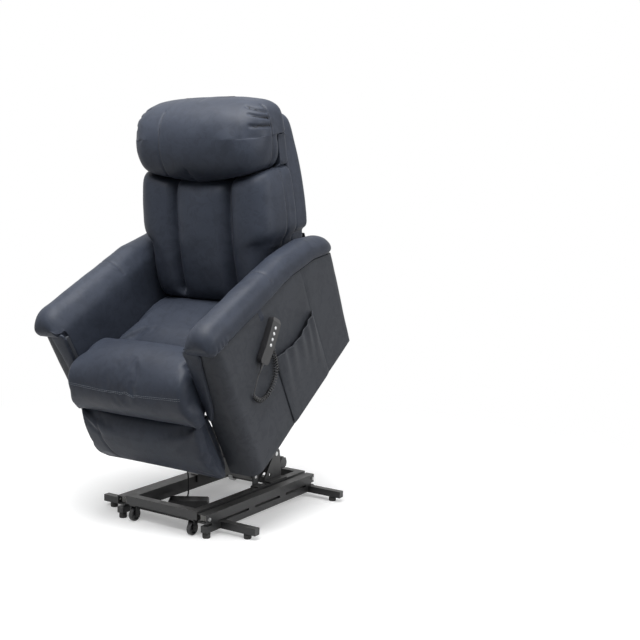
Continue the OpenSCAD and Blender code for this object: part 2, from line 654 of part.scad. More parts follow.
module arm_pad() color(leather) in_chair() skin([for (y = pad_y)
    let (h = pad_high(y) * pad_close(y), z = pad_under(y) + seat_gap, k = 20 * (1 - pad_close(y)),
         a = pad_inner(y) + k, b = chair_w / 2 - 5 - k, w = b - a, ring = spline([
            [a + 4, 0], [b - 6, 0], [b, 0.28 * h], [b - 6, 0.62 * h], [b - 0.22 * w, 0.93 * h],
            [b - 0.48 * w, h], [a + 0.28 * w, 0.9 * h], [a + 0.08 * w, 0.5 * h]], 2))
    [for (p = ring) [p[0], y, z + max(p[1], 0)]]]);
module arm_pad_left() arm_pad();
module arm_pad_right() mirror([1, 0, 0]) arm_pad();

// Teardrop facing on the front of the arm
facing_w = 44;
facing_t = 11;
facing_low = 356;
module facing_outline() {
    translate([arm_in + 8, facing_low]) square([facing_w - 12, panel_top[1] - facing_low - 2]);
    translate([arm_in + 8 + (facing_w - 12) / 2, facing_low]) circle(d = facing_w - 12, $fn = 48);
    polygon([[arm_in + 8, 520], [arm_in + 8 + facing_w - 12, 480],
             [arm_in + 8 + facing_w, panel_top[1] - 2], [arm_in + 8, panel_top[1] - 2]]);
}
module arm_facing() color(leather) in_chair()
    translate([0, panel_low[0], panel_low[1]]) rotate([panel_lean, 0, 0])
        translate([0, 1 - seat_gap, -panel_low[1]]) rotate([90, 0, 0]) linear_extrude(facing_t) facing_outline();
module arm_facing_left() arm_facing();
module arm_facing_right() mirror([1, 0, 0]) arm_facing();

// --- Seat ------------------------------------------------------------------------------
seat_side = arm_in - seat_gap - 2;
seat_z = 470;
deck_z = seat_z - seat_t;
seat_rear = 402;
fold_y = 22;
module seat_frame() color(timber) in_chair() {
    both() box3([mech_x + mech_t, inner_front + 10, deck_z - 42], [arm_in, seat_rear - 10, deck_z - 4]);
    box3([-mech_x - mech_t, seat_rear - 40, deck_z - 42], [mech_x + mech_t, seat_rear - 18, deck_z - 4]);
    difference() {
        box3([-arm_in, inner_front - 6, split_z + 8], [arm_in, inner_front + 14, deck_z - 4]);
        both() box3([mech_x + mech_t, inner_front + 10, 0], [arm_in + 1, inner_front + 20, 900]);
    }
}
// Zigzag springs across the seat opening
spring_d = 4;
spring_pitch = 26;
module seat_springs() color(zinc) in_chair() for (x = [-160, -80, 0, 80, 160])
    translate([x, inner_front + 14, deck_z - 4.5]) zigzag(seat_rear - 54 - inner_front, 44);
module zigzag(length, width) {
    n = floor(length / spring_pitch);
    for (i = [0 : n - 1]) translate([0, i * length / n, 0]) {
        translate([-width / 2, length / n / 2 - spring_d / 2, -spring_d / 2]) cube([width, spring_d, spring_d]);
        translate([(i % 2 == 0 ? 1 : -1) * width / 2 - spring_d / 2, length / n / 2 - spring_d / 2, -spring_d / 2])
            cube([spring_d, i < n - 1 ? length / n + spring_d : length / n / 2 + spring_d / 2, spring_d]);
    }
    translate([width / 2 * (n % 2 == 0 ? 1 : 1) * 0 - width / 2 - spring_d / 2, 0, -spring_d / 2])
        cube([spring_d, length / n / 2 + spring_d / 2, spring_d]);
}
module seat_cushion() color(leather) in_chair() cushion(spline([
    [fold_y + 5, 410], [fold_y + 6, deck_z + 14], [fold_y + 18, deck_z], [200, deck_z - 1], [seat_rear - 12, deck_z],
    [seat_rear, deck_z + 16], [seat_rear - 10, seat_z - 52], [280, seat_z - 10], [150, seat_z - 4],
    [fold_y + 30, seat_z - 6], [fold_y + 9, seat_z - 26]], 2), seat_side, 0.035, 6);
seat_nose = -232;
module seat_front_pad() color(leather) in_chair() cushion(spline([
    [seat_nose + 24, split_z + 4], [seat_nose + 5, split_z + 42], [seat_nose, split_z + 95],
    [seat_nose + 13, seat_crown - 42], [seat_nose + 52, seat_crown - 10], [-110, seat_crown - 5],
    [-40, seat_crown - 13], [fold_y - 14, seat_crown - 34], [fold_y - 1.5, seat_z - 30], [fold_y - 1.5, 410],
    [fold_y - 5, deck_z + 8], [-60, deck_z - 1], [-108, deck_z - 1], [-132, deck_z - 2.5], [-143, deck_z - 14],
    [-147, split_z + 12], [-172, split_z + 3]], 2),
    seat_side, 0.04, 6);
module rear_rail() color(timber) in_chair()
    box3([-arm_in, panel_low_rear[0] - 12, panel_low_rear[1] + 14],
         [arm_in, panel_low_rear[0] + 6, panel_low_rear[1] + 150]);
skirt_t = 3;
skirt_w = 500;
skirt_low = panel_low_rear + [6 + seat_gap, 54];
module rear_skirt() color(leather_side) in_chair() yz(-skirt_w / 2, skirt_w / 2) {
    line = concat([skirt_low], open_spline([skirt_low + [0, 96], panel_low_rear + [34, 219],
                              back_pivot + [204, 120], back_pivot + [210, 212]], 4));
    polygon(concat(line, [for (i = [len(line) - 1 : -1 : 0]) line[i] + [skirt_t, 0]]));
}

// --- Side pocket with its handset -------------------------------------------------------
pocket_y = [118, 352];
pocket_top = 424;
pocket_fold = 5;
function pocket_low(y) = panel_low[1] + (y - panel_low[0]) / panel_len
    * (panel_low_rear[1] - panel_low[1]) + 4;
module side_pocket() color(leather_side) in_chair() {
    n = 25;
    rows = [0, 0.05, 0.2, 0.45, 0.7, 0.88, 0.97, 1];
    skin([for (r = rows) let (bulge = 2 + 8 * pow(sin(180 * pow(r, 1.6) * 0.62), 2) * (r < 1 ? 1 : 0.7))
        concat([for (i = [0 : n - 1]) let (s = i / (n - 1), y = pocket_y[0] + s * (pocket_y[1] - pocket_y[0]),
                 edge = min(1, 7 * s, 7 * (1 - s)), sag = 9 * pow(sin(180 * s), 2) * r,
                 wave = pocket_fold * r * r * (0.5 + 0.5 * cos(360 * 5 * s + 140 * (1 - r))))
            [panel_out + 1 + edge * (bulge + wave), y, pocket_low(y) + r * (pocket_top - sag * 1 - pocket_low(y))]],
            [for (i = [n - 1 : -6 : 0]) let (s = i / (n - 1), y = pocket_y[0] + s * (pocket_y[1] - pocket_y[0]),
                 sag = 9 * pow(sin(180 * s), 2) * r)
            [panel_out + seat_gap, y, pocket_low(y) + r * (pocket_top - sag - pocket_low(y))]])]);
}
strap_y = 118;
module holster_strap() color(leather) in_chair() difference() {
    yz(panel_out + seat_gap, panel_out + seat_gap + 3) {
        translate([strap_y - 11, 532]) square([22, 62]);
        translate([strap_y, 532]) circle(d = 22, $fn = 32);
    }
    shaft([strap_y, 534], 6, panel_out - 1, panel_out + 10);
}
hook_at = [strap_y, 534];
hook_up = lifted2(hook_at);
// Handset in the raised chair: top end, and the way down its length
handset_top = [12, 768];
handset_tilt = 24.5;
handset_x = panel_out + 7;
module in_handset() in_base() translate([handset_x, handset_top[0], handset_top[1]])
    rotate([-handset_tilt, 0, 0]) children();
module handset_outline() {
    translate([0, -handset_len / 2]) round_rect(handset_w, handset_len, 13);
}
module handset_body() color(plastic) in_handset() difference() {
    intersection() {
        rotate([90, 0, 90]) linear_extrude(handset_t) handset_outline();
        // Side view: thinner at the cord end, rounded edges
        rotate([90, 0, 0]) translate([0, 0, -handset_w]) linear_extrude(2 * handset_w)
            polygon([[0, -10], [4, 0], [handset_t - 5, 0], [handset_t, -14], [handset_t, -100],
                     [handset_t - 6, -handset_len + 2], [handset_t - 8, -handset_len],
                     [5, -handset_len], [0, -handset_len + 8]]);
    }
    for (k = [0 : 3]) translate([handset_t - 4, 0, button_z(k)]) rotate([0, 90, 0])
        cylinder(d = button_d + 0.6, h = 20, $fn = 32);
    // Slot for the hook in the back of the top end
    translate([-1, -4, -16]) cube([7, 8, 12]);
}
button_d = 11;
button_travel = 1;
function button_z(k) = -34 - 20 * k;
module button(k) color(light_mark) in_handset() translate([handset_t - 2.8, 0, button_z(k)])
    rotate([0, 90, 0]) { cylinder(d = button_d, h = 3, $fn = 32);
        translate([0, 0, 3]) cylinder(d1 = button_d, d2 = button_d - 3, h = 1.2, $fn = 32); }
module button_one() button(0);
module button_two() button(1);
module button_three() button(2);
module button_four() button(3);
module holster_hook() color(plastic) {
    in_chair() shaft(hook_at, 5.6, panel_out + seat_gap, handset_x - 2);
    in_base() difference() {
        yz(handset_x - 3.4, handset_x - 0.6) link2(hook_up, handset_top + [-1, -8], 8);
        translate([panel_out, hook_up[0], hook_up[1]]) rotate([0, 90, 0]) cylinder(d = 2, h = 20, $fn = 16);
    }
}
gland_len = 22;
function handset_point(z) = [handset_x + handset_t / 2 - 2, handset_top[0], handset_top[1]]
    + [0, sin(-handset_tilt) * -z * -1, cos(handset_tilt) * z];
module handset_gland() color(plastic) in_handset() translate([handset_t / 2 - 2, 0, -handset_len - gland_len])
    cylinder(d1 = cord_d + 2, d2 = 10, h = gland_len - 0.02, $fn = 24);

// Cord of the handset: straight lead, then curls down, round and up to the grommet
down = [0, -sin(handset_tilt), -cos(handset_tilt)];
lead_top = [handset_x + handset_t / 2 - 2, handset_top[0], handset_top[1]]
           + (handset_len + gland_len) * down;
curl_start = [panel_out + 14, -92, 534];
lead_line = open_spline([lead_top, lead_top + 8 * down, [panel_out + 13, -70, 588],
                         [panel_out + 14, -84, 556], curl_start + [0, 2, 8], curl_start], 3);
curl_in = [0, -0.24, -0.97];
module handset_lead() color(plastic) in_base()
    tube_along(lead_line, cord_d, 8, [1, 0, 0.1], down, unit(curl_in));
grommet_at = [124, 436];
grommet_up = lifted2(grommet_at);
grommet_t = 5;
module cord_grommet() color(plastic) in_chair() difference() {
    union() {
        shaft(grommet_at, 13, panel_out, panel_out + grommet_t);
    }
    shaft(grommet_at, 4.6, panel_out + 1, panel_out + grommet_t - 1.5);
}
curl_mid = [curl_start, curl_start + [0, -2, -9], [panel_out + 13, -84, 512], [panel_out + 13, -56, 500],
            [panel_out + 13, -18, 512], [panel_out + 13, 16, 544], [panel_out + 13, 32, 586],
            [panel_out + 14, 24, 626], [panel_out + 14, 14, 650],
            [panel_out + 13, grommet_up[0] + 2, grommet_up[1] + 6],
            [panel_out + 10, grommet_up[0], grommet_up[1]],
            [panel_out + grommet_t, grommet_up[0], grommet_up[1]]];
curl_line = open_spline(curl_mid, 12);
curl_n = len(curl_line) - 1;
curl_steps = curls * 8;
curl_at = [for (i = 0, t = 0; i <= curl_n;
    t = t + (i < curl_n ? norm(curl_line[i + 1] - curl_line[i]) : 0), i = i + 1) [t, i]];
curl_len = curl_at[curl_n][0];
function curl_frame(t) = let (u = lookup(t, curl_at), k = min(floor(u), curl_n - 1), f = u - k,
    p = curl_line[k] * (1 - f) + curl_line[k + 1] * f,
    d = unit(curl_line[min(k + 1, curl_n)] - curl_line[max(k, 0)]),
    a = unit(cross(d, abs(d[0]) > 0.9 ? [0, 0, 1] : [1, 0, 0]))) [p, d, a, cross(d, a)];
curl_r = (curl_d - cord_d) / 2;
function curl_point(i) = let (s = i / curl_steps, f = curl_frame(5 + s * (curl_len - 22)),
    r = curl_r * min(1, 12 * s, 12 * (1 - s)), w = 360 * curls * s)
    f[0] + r * cos(w) * f[2] + r * sin(w) * f[3];
curl_path = concat([curl_line[0], curl_line[0] + 0.6 * cord_d * unit(curl_in)],
                   [for (i = [1 : curl_steps - 1]) curl_point(i)],
                   [curl_line[curl_n] + [cord_d + 1, 0, 0], curl_line[curl_n]]);
// Least gap between curls: points of one curl against those from half a curl further on
curl_gap = min([for (i = [1 : curl_steps - 6]) for (j = [i + 5 : min(i + 24, curl_steps - 1)])
    norm(curl_point(i) - curl_point(j))]) - cord_d;
echo("curly_cord least gap to itself, mm", curl_gap);
module curly_cord() color(plastic) in_base()
    tube_along(curl_path, cord_d, 6, [0.31, 0.52, 0.79], unit(curl_in), [-1, 0, 0]);

// --- Recline drive and footrest ------------------------------------------------------------
recline_dir = dir2(foot_crank - recline_pivot);
recline_len = norm(foot_crank - recline_pivot);
recline_body_len = 250;
module along_recline() in_chair() translate([0, recline_pivot[0], recline_pivot[1]])
    rotate([recline_dir, 0, 0]) children();
module recline_actuator_body() color(plastic) along_recline() {
    difference() {
        union() {
            shaft([0, 0], 34, -16, 16);
            translate([-22, 12, -22]) cube([44, 56, 44]);
            translate([0, 60, 0]) rotate([-90, 0, 0])
                cylinder(d = act_tube_d - 6, h = recline_body_len - 60, $fn = 48);
        }
        shaft([0, 0], 20 + 2 * fit, -30, 30);
        translate([0, 80, 0]) rotate([-90, 0, 0])
            cylinder(d = rod_d + 2 * fit, h = recline_body_len, $fn = 48);
    }
    translate([-22, 40, 0]) rotate([0, -90, 0]) {
        cylinder(d = motor_d - 6, h = 64, $fn = 48);
        translate([0, 0, 64]) cylinder(d = motor_d - 14, h = 8, $fn = 48);
    }
}
fork_in = 38;                // slot of the fork, with room for the torque tube's path
fork_deep = 58;
module recline_actuator_rod() color(zinc) along_recline() {
    translate([0, 84, 0]) rotate([-90, 0, 0])
        cylinder(d = rod_d, h = recline_len - 84 - fork_in / 2 - 4, $fn = 48);
    // Fork that sits over the torque tube, open below
    yz(-12, 12) difference() {
        union() {
            translate([recline_len, 0]) circle(d = fork_in + 14, $fn = 48);
            translate([recline_len - fork_in / 2 - 7, 0]) square([fork_in + 14, fork_deep]);
        }
        translate([recline_len, 0]) circle(d = fork_in, $fn = 48);
        translate([recline_len - fork_in / 2, 0]) square([fork_in, fork_deep + 1]);
    }
}
module foot_lower_links() color(black_paint) in_chair() {
    both() difference() {
        yz(lower_x, lower_x + link_t) {
            link2(foot_hinge, foot_knee, 24);
            link2(foot_hinge, foot_crank, 26);
            link2(foot_hinge + (guide_root - foot_hinge) * 0.9, guide_root, 20);
        }
        for (p = [foot_hinge]) shaft(p, mech_pin_d + 2 * fit, 0, 300);
    }
    both() shaft(foot_knee, 10, upper_x, lower_x + link_t + 1);
    both() shaft(guide_root, 8, guide_x - 1, lower_x + 1);
    shaft(foot_crank, 20, -lower_x - 1, lower_x + 1);
}
// Upper links bow outwards, so that they clear the seat rail
knee_bow = 26;
module foot_upper_links() color(black_paint) in_chair() both() difference() {
    bow = (foot_knee + foot_eye) / 2 + rot2([0, knee_bow], dir2(foot_eye - foot_knee) + 180);
    yz(upper_x, upper_x + link_t) {
        link2(foot_knee, bow, 22);
        link2(bow, foot_eye, 22);
    }
    shaft(foot_knee, 10 + 2 * fit, 0, 300);
    shaft(foot_eye, 10 + 2 * fit, 0, 300);
}
module foot_guide_links() color(black_paint) in_chair() both() difference() {
    yz(guide_x, guide_x + link_t) link2(guide_root, guide_eye, 16);
    shaft(guide_root, 8 + 2 * fit, 0, 300);
    shaft(guide_eye, 7, 0, 300);
}
board_t = 12;
module footrest_board() {
    color(timber) in_chair() box3([-bracket_x - link_t, foot_back, foot_pad_low + 14],
                                  [bracket_x + link_t, foot_back + board_t, split_z - 14]);
    color(black_paint) in_chair() both() {
        difference() {
            yz(bracket_x, bracket_x + link_t) polygon([
                [foot_back + board_t, foot_eye[1] - 16], foot_eye + [13, -13], foot_eye + [13, 13],
                guide_eye + [12, -12], guide_eye + [12, 10], [foot_back + board_t, guide_eye[1] + 16]]);
            shaft(guide_eye, 7, 0, 300);
        }
        shaft(foot_eye, 10, bracket_x + 1, upper_x + link_t + 1);
    }
}
foot_front = foot_back - foot_pad_t;
module footrest_pad() color(leather) in_chair() cushion(spline([
    [foot_back - 3.4, foot_pad_low + 12], [foot_back - 16, foot_pad_low], [foot_front + 36, foot_pad_low + 8],
    [foot_front + 14, foot_pad_low + 46], [foot_front + 2, 206], [foot_front, 280],
    [foot_front + 8, split_z - 16], [foot_front + 22, split_z - 3.5], [foot_back - 14, split_z - 3.5],
    [foot_back - 3.4, split_z - 12], [foot_back - seat_gap, 210]], 2), seat_side, 0.04, 0);

// --- Back --------------------------------------------------------------------------------
back_rail_x = pivot_x;
bar_reach = back_rail_x + 6 + 4;             // hollow of the shell, past the side rails
module back_frame() {
    color(black_paint) in_back() {
        both() difference() {
            yz(back_rail_x, back_rail_x + 6) {
                link2([0, 0], [shell_front + 16, 40], 32);
                translate([shell_front, 36]) square([32, shell_high - 110]);
            }
            shaft([0, 0], mech_pin_d + 2 * fit, 0, 300);
        }
        for (z = [shell_low + 30, shell_high - 110])
            box3([-bar_reach, shell_front, z], [bar_reach, shell_front + 32, z + 26]);
    }
    color(zinc) in_back() both() shaft([0, 0], mech_pin_d, mech_x - 2, pivot_x + 8);
}
module back_shell() color(leather) in_back() difference() {
    intersection() {
        yz(-shell_w / 2, shell_w / 2) {
            translate([shell_front, shell_low]) square([shell_t, shell_high - shell_low - 40]);
            translate([shell_front, shell_high - 60]) square([shell_t - 40, 60]);
            translate([shell_front + shell_t - 40, shell_high - 40]) circle(r = 40, $fn = 64);
            translate([shell_front, shell_high - 100]) square([shell_t - 20, 60]);
        }
        translate([0, shell_front - 1, 0]) rotate([-90, 0, 0]) mirror([0, 1, 0])
            linear_extrude(shell_t + 2) shell_face();
    }
    // Hollow towards the cushion
    box3([-bar_reach, shell_front - 1, shell_low - 1],
         [bar_reach, shell_front + shell_t - 26, shell_high - 60]);
}
module shell_face() {
    r = 60;
    top = shell_w / 2 - shell_taper;
    polygon([[-shell_w / 2, shell_low], [shell_w / 2, shell_low], [shell_w / 2, shell_low + 90],
             [top, shell_high - r], [-top, shell_high - r], [-shell_w / 2, shell_low + 90]]);
    translate([-top + r, shell_high - r - 10]) square([2 * top - 2 * r, r + 10]);
    for (s = [-1, 1]) translate([s * (top - r), shell_high - r]) circle(r = r, $fn = 64);
}
// Back cushion: three sewn channels, narrower towards the seat
back_top = 496;              // top of its swell, under the headrest
back_rows = [60, 66, 84, 120, 180, 250, 310, 360, 410, 450, 480, 494, 504, 600, 640, 648];
function back_swell(z) = z < back_top ? 1 - pow(abs((z - back_top / 2 - 26) / 223), 6) : 0;
function back_nose(z) = let (t = (z - 250) / 290)
    z < back_top ? back_front + (z > 250 ? 42 * t * t : 4 * t * t) : z < 641 ? -8 : -4;
function back_half(z) = back_w / 2 - 17 + back_bulge * pow(min(1, max(0, (z - 60) / 300)), 2);
front_count = 33;
channel_x = 0.455 * back_w / 2;
function channel(x, half) = let (a = min(abs(x - channel_x), abs(x + channel_x))) exp(-pow(a / 17, 2));
module back_cushion() color(leather) in_back() skin([for (z = back_rows)
    let (half = back_half(z) - 9 * (1 - max(0, back_swell(z))), deep = shell_front - seat_gap,
         nose = back_nose(z) + (z < back_top ? (deep - back_nose(z)) * 0.42 * (1 - pow(max(0, back_swell(z)), 0.6)) : 0))
    concat([for (i = [0 : front_count - 1]) let (s = 1 - 2 * i / (front_count - 1), x = half * sin(90 * s),
            side = 1 - pow(abs(s), 5), lobe = channel(x, half))
            [x, nose + (deep - nose) * 0.5 * (1 - side) + channel_depth * lobe * max(0.15, back_swell(z)), z]],
        [[-half + 4, deep - 30, z], [-half + 14, deep, z], [0, deep, z], [half - 14, deep, z],
         [half - 4, deep - 30, z]])]);
// Headrest: D-shaped roll across the top of the back
module headrest() color(leather) in_back() cushion(spline([
    [-64, back_top + 4], [-114, back_top + 6], [-152, back_top + 34], [-172, back_top + 90],
    [-171, 650], [-152, shell_high - 12], [-108, shell_high + 36],
    [-50, shell_high + 60], [4, shell_high + 58], [shell_front - 6, shell_high + 40],
    [shell_front - 1.3, shell_high + 8], [shell_front - 0.6, shell_high - 22],
    [shell_front - 3, shell_high - 58], [10, shell_high - 70.5], [-10.5, shell_high - 75],
    [-10.5, shell_high - 110], [-10.5, back_top + 60], [-20, back_top + 20]], 2), head_w / 2, 0.10, 0);

base_rail_left();
base_rail_right();
front_cross_bar();
rear_cross_bar();
rubber_feet();
rail_bolts();
power_brick();
power_lead();
rolling_frame();
slide_blocks();
wheel_forks();
lift_towers();
lower_pivot_pins();
wheel_left();
wheel_right();
lift_arms();
power_socket();
lift_links();
lift_actuator_body();
lift_actuator_rod();
lift_top_frame();
upper_pivot_pins();
mechanism_plates();
side_panel_left();
side_panel_right();
inner_arm_left();
inner_arm_right();
arm_pad_left();
arm_pad_right();
arm_facing_left();
arm_facing_right();
seat_frame();
seat_springs();
seat_cushion();
seat_front_pad();
rear_rail();
rear_skirt();
side_pocket();
holster_strap();
holster_hook();
cord_grommet();
curly_cord();
handset_lead();
handset_gland();
handset_body();
button_one();
button_two();
button_three();
button_four();
recline_actuator_body();
recline_actuator_rod();
foot_lower_links();
foot_upper_links();
foot_guide_links();
footrest_board();
footrest_pad();
back_frame();
back_shell();
back_cushion();
headrest();
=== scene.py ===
# %% [markdown]
# # A lift recliner chair, dressed on its CAD frame
# The rigid parts of the chair arrive as exact solids with their joints. This lesson
# keeps them, gives them finishes, and replaces every soft solid with a padded form.
# Everything is in metres, the chair faces -Y, +X is the sitter's left, and the chair
# stands in its raised pose, tilted forward on its lift.

# %% Load the frame
import math
import bpy
import numpy as np
from mathutils import Matrix, Vector, noise
from mathutils.bvhtree import BVHTree


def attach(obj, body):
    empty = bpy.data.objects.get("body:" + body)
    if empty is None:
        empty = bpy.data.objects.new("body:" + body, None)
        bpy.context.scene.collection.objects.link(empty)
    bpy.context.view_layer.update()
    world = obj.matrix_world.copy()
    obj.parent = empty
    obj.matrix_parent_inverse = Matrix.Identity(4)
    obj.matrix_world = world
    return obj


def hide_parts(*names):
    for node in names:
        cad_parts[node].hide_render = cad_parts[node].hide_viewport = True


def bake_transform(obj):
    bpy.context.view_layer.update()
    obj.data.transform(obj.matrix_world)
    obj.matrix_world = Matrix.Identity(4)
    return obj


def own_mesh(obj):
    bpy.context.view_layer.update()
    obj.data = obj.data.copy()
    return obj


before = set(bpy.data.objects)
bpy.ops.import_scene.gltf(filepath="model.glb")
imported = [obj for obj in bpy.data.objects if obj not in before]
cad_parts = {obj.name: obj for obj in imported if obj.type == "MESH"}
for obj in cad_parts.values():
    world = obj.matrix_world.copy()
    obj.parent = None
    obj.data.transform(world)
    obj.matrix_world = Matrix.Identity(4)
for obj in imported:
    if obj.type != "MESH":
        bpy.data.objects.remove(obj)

scene = bpy.context.scene
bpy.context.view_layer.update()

# %% [markdown]
# ## Places
# The drawings of the chair are in millimetres, in the frame of the part that they
# belong to: the floor base, the seated chair, and the back along its own lean. A 4 by 4
# matrix takes each of these into the world of the raised chair. Writing the shapes in
# such a local frame keeps their numbers simple.

# %% Frames of the base, chair and back
CHAIR_TILT = 29.3  # degrees that the raised lift tips the chair forward
BACK_LEAN = 17.7  # degrees that the back leans behind the chair's own upright
SIDE_NAME = {1: "left", -1: "right"}


def shifted(x, y, z):
    m = np.eye(4)
    m[:3, 3] = (x, y, z)
    return m


def tipped(y, z, degrees):
    """A turn about the X line through y, z."""
    c, s = math.cos(math.radians(degrees)), math.sin(math.radians(degrees))
    m = np.eye(4)
    m[1:3, 1:3] = ((c, -s), (s, c))
    return shifted(0, y, z) @ m @ shifted(0, -y, -z)


MM = np.diag((0.001, 0.001, 0.001, 1.0))
BASE = MM @ shifted(0, -139, 0)
CHAIR = BASE @ tipped(-360, 348, CHAIR_TILT)
BACK = CHAIR @ shifted(0, 430, 370) @ tipped(0, 0, -BACK_LEAN)


def place(m, points):
    """Points of a local frame, in the world."""
    p = np.asarray(points, float).reshape(-1, 3)
    return p @ m[:3, :3].T + m[:3, 3]


def unplace(m, points):
    """Points of the world, in a local frame."""
    return place(np.linalg.inv(m), points)


print("seat crown is at", place(CHAIR, [(0, -110, 528)])[0].round(3))

# %% [markdown]
# ## Camera
# The camera stands a little to the right of the chair and looks slightly down. Its
# place, turn and lens are plain numbers, worked out once from the chair's own corners.

# %% Camera
def add_camera(at, azimuth, elevation, roll, lens):
    a, e, r = (math.radians(v) for v in (azimuth, elevation, roll))
    ahead = Vector((-math.sin(a) * math.cos(e), math.cos(a) * math.cos(e), -math.sin(e)))
    right = Vector((math.cos(a), math.sin(a), 0))
    up = right.cross(ahead)
    right, up = (math.cos(r) * right + math.sin(r) * up,
                 math.cos(r) * up - math.sin(r) * right)
    data = bpy.data.cameras.new("camera")
    data.lens, data.sensor_width = lens, 36
    cam = bpy.data.objects.new("camera", data)
    rows = [(right[i], up[i], -ahead[i], at[i]) for i in range(3)]
    cam.matrix_world = Matrix(rows + [(0, 0, 0, 1)])
    scene.collection.objects.link(cam)
    scene.camera = cam
    return cam


camera = add_camera(at=(2.2638, -2.8810, 1.1398), azimuth=31.634, elevation=6.408, roll=1.663, lens=56.73)
scene.view_settings.view_transform = "Standard"
print("camera at", camera.matrix_world.translation[:])

# %% [markdown]
# ## Shader maths
# A finish is a graph of nodes. Written one node at a time it is long and hard to
# read, so a small class wraps a socket and turns Python's operators into Math nodes.
# One method makes every other kind of node, so each pattern below is one line.

# %% A socket with arithmetic, and a finish
class Wire:
    """A socket that arithmetic can be done on."""

    def __init__(self, finish, socket):
        self.finish, self.socket = finish, socket

    def maths(self, kind, first, second):
        return self.finish.node("Math", {"operation": kind}, {0: first, 1: second})

    def __add__(self, other):
        return self.maths("ADD", self, other)

    def __sub__(self, other):
        return self.maths("SUBTRACT", self, other)

    def __rsub__(self, other):
        return self.maths("SUBTRACT", other, self)

    def __mul__(self, other):
        return self.maths("MULTIPLY", self, other)

    def __pow__(self, other):
        return self.maths("POWER", self, other)

    __radd__, __rmul__ = __add__, __mul__


class Finish:
    """A material whose Principled shader is fed by expressions on wires."""

    def __init__(self, name):
        self.material = bpy.data.materials.new(name)
        self.material.use_nodes = True
        self.tree = self.material.node_tree
        self.shader = self.tree.nodes["Principled BSDF"]
        self.at = self.node("TexCoord", out="Object")

    def node(self, kind, settings=None, sockets=None, out=0):
        n = self.tree.nodes.new("ShaderNode" + kind)
        for key, value in (settings or {}).items():
            if key == "stops":
                for stop, (where, colour) in zip(n.color_ramp.elements, value):
                    stop.position, stop.color = where, colour
            else:
                setattr(n, key, value)
        for key, value in (sockets or {}).items():
            if isinstance(value, Wire):
                self.tree.links.new(value.socket, n.inputs[key])
            else:
                n.inputs[key].default_value = value
        return Wire(self, n.outputs[out])

    def mottle(self, scale, detail=2.0, roughness=0.5, distortion=0.0, at=None):
        return self.node("TexNoise", None, {"Vector": at or self.at, "Scale": scale, "Detail": detail,
                                            "Roughness": roughness, "Distortion": distortion})

    def pebbles(self, scale, feature="F1", out=0, at=None):
        return self.node("TexVoronoi", {"feature": feature}, {"Vector": at or self.at, "Scale": scale}, out)

    def blend(self, share, dark, light):
        return self.node("Mix", {"data_type": "RGBA"}, {0: share, 6: dark, 7: light}, 2)

    def between(self, value, low, high, new_low=0.0, new_high=1.0):
        return self.node("MapRange", None, {0: value, 1: low, 2: high, 3: new_low, 4: new_high})

    def bumped(self, height, strength, distance, under=None):
        sockets = {"Height": height, "Strength": strength, "Distance": distance}
        if under is not None:
            sockets["Normal"] = under
        return self.node("Bump", None, sockets)

    def wear(self, **sockets):
        for key, value in sockets.items():
            socket = self.shader.inputs[key.replace("_", " ")]
            if isinstance(value, Wire):
                self.tree.links.new(value.socket, socket)
            else:
                socket.default_value = value
        return self.material


print("shader helpers ready")

# %% [markdown]
# ## Leather
# The cover is a dark navy, semi-aniline upholstery leather: a fine pebbled grain
# about a millimetre across, faint creases and a slightly cloudy dye. The grain and
# the creases go into bump, the dye into colour, and both move the roughness a little,
# because pressed grain shines more than the valleys round it.

# %% Leather finishes
def leather(name, dark, light, rough):
    """Pebbled grain and creases as relief, a cloudy dye as colour, and painted shade in the crease valleys.
    """
    f = Finish(name)
    grain = f.pebbles(620, "SMOOTH_F1")
    fine = f.mottle(1500, 2)
    crease = f.mottle(26, 5, 0.62, 1.2)
    cloud = f.between(f.mottle(4.5, 3), 0.3, 0.7)
    crease_shade = f.between(crease, 0.44, 0.5)
    relief = f.bumped(grain * 0.7 + fine * 0.3, 0.42, 0.00035)
    relief = f.bumped(crease, 0.16, 0.004, relief)
    colour = f.blend(cloud * 0.75 + grain * 0.35, dark, light)
    # Painted shade: where the crease relief is low, the colour is pulled darker.
    colour = f.blend(f.between(crease_shade, 0.0, 1.0, 0.2, 0.0), colour, (0.010, 0.012, 0.017, 1))
    return f.wear(Base_Color=colour, Roughness=rough + 0.10 * (cloud - 0.5) + 0.10 * grain,
                  Specular_IOR_Level=0.17, Normal=relief)


navy_leather = leather("navy_leather", (0.020, 0.024, 0.035, 1), (0.032, 0.038, 0.053, 1), 0.46)
panel_leather = leather("panel_leather", (0.028, 0.031, 0.037, 1), (0.042, 0.045, 0.053, 1), 0.50)
print("leathers:", navy_leather.name, panel_leather.name)

# %% [markdown]
# ## Metal, plastic, rubber and wood
# The base is powder-coated steel, which has a tiny orange-peel texture; what faces up is
# painted lighter in blotches, a painted highlight. Zinc-plated pins and rods are real metal, so Metallic is 1
# and the
# pattern is in the roughness. The handset and the brick are moulded plastic.

# %% Hard finishes
def powder_coat():
    f = Finish("powder_coat")
    peel = f.mottle(900, 2)
    blotches = f.mottle(35, 4, 0.6)
    facing = f.node("SeparateXYZ", None, {0: f.node("NewGeometry", out="Normal")}, 2)
    # Painted highlight: upward faces are made lighter, in noisy blotches.
    painted_top_highlight = f.between(facing * 0.6 + blotches, 0.85, 1.5)
    colour = f.blend(painted_top_highlight, (0.010, 0.0103, 0.011, 1), (0.075, 0.074, 0.072, 1))
    return f.wear(Base_Color=colour, Roughness=0.34 + 0.14 * blotches + 0.2 * painted_top_highlight,
                  Normal=f.bumped(peel, 0.35, 0.00025))


def zinc_plate():
    f = Finish("zinc_plate")
    spangle = f.mottle(160, 4, 0.6)
    stretched = f.node("Mapping", None, {"Vector": f.at, "Scale": (30, 1, 1)})
    lines = f.mottle(220, 2, at=stretched)
    return f.wear(Base_Color=f.blend(spangle, (0.42, 0.43, 0.44, 1), (0.62, 0.62, 0.61, 1)), Metallic=1.0,
                  Roughness=0.22 + 0.25 * spangle, Normal=f.bumped(lines, 0.08, 0.0002))


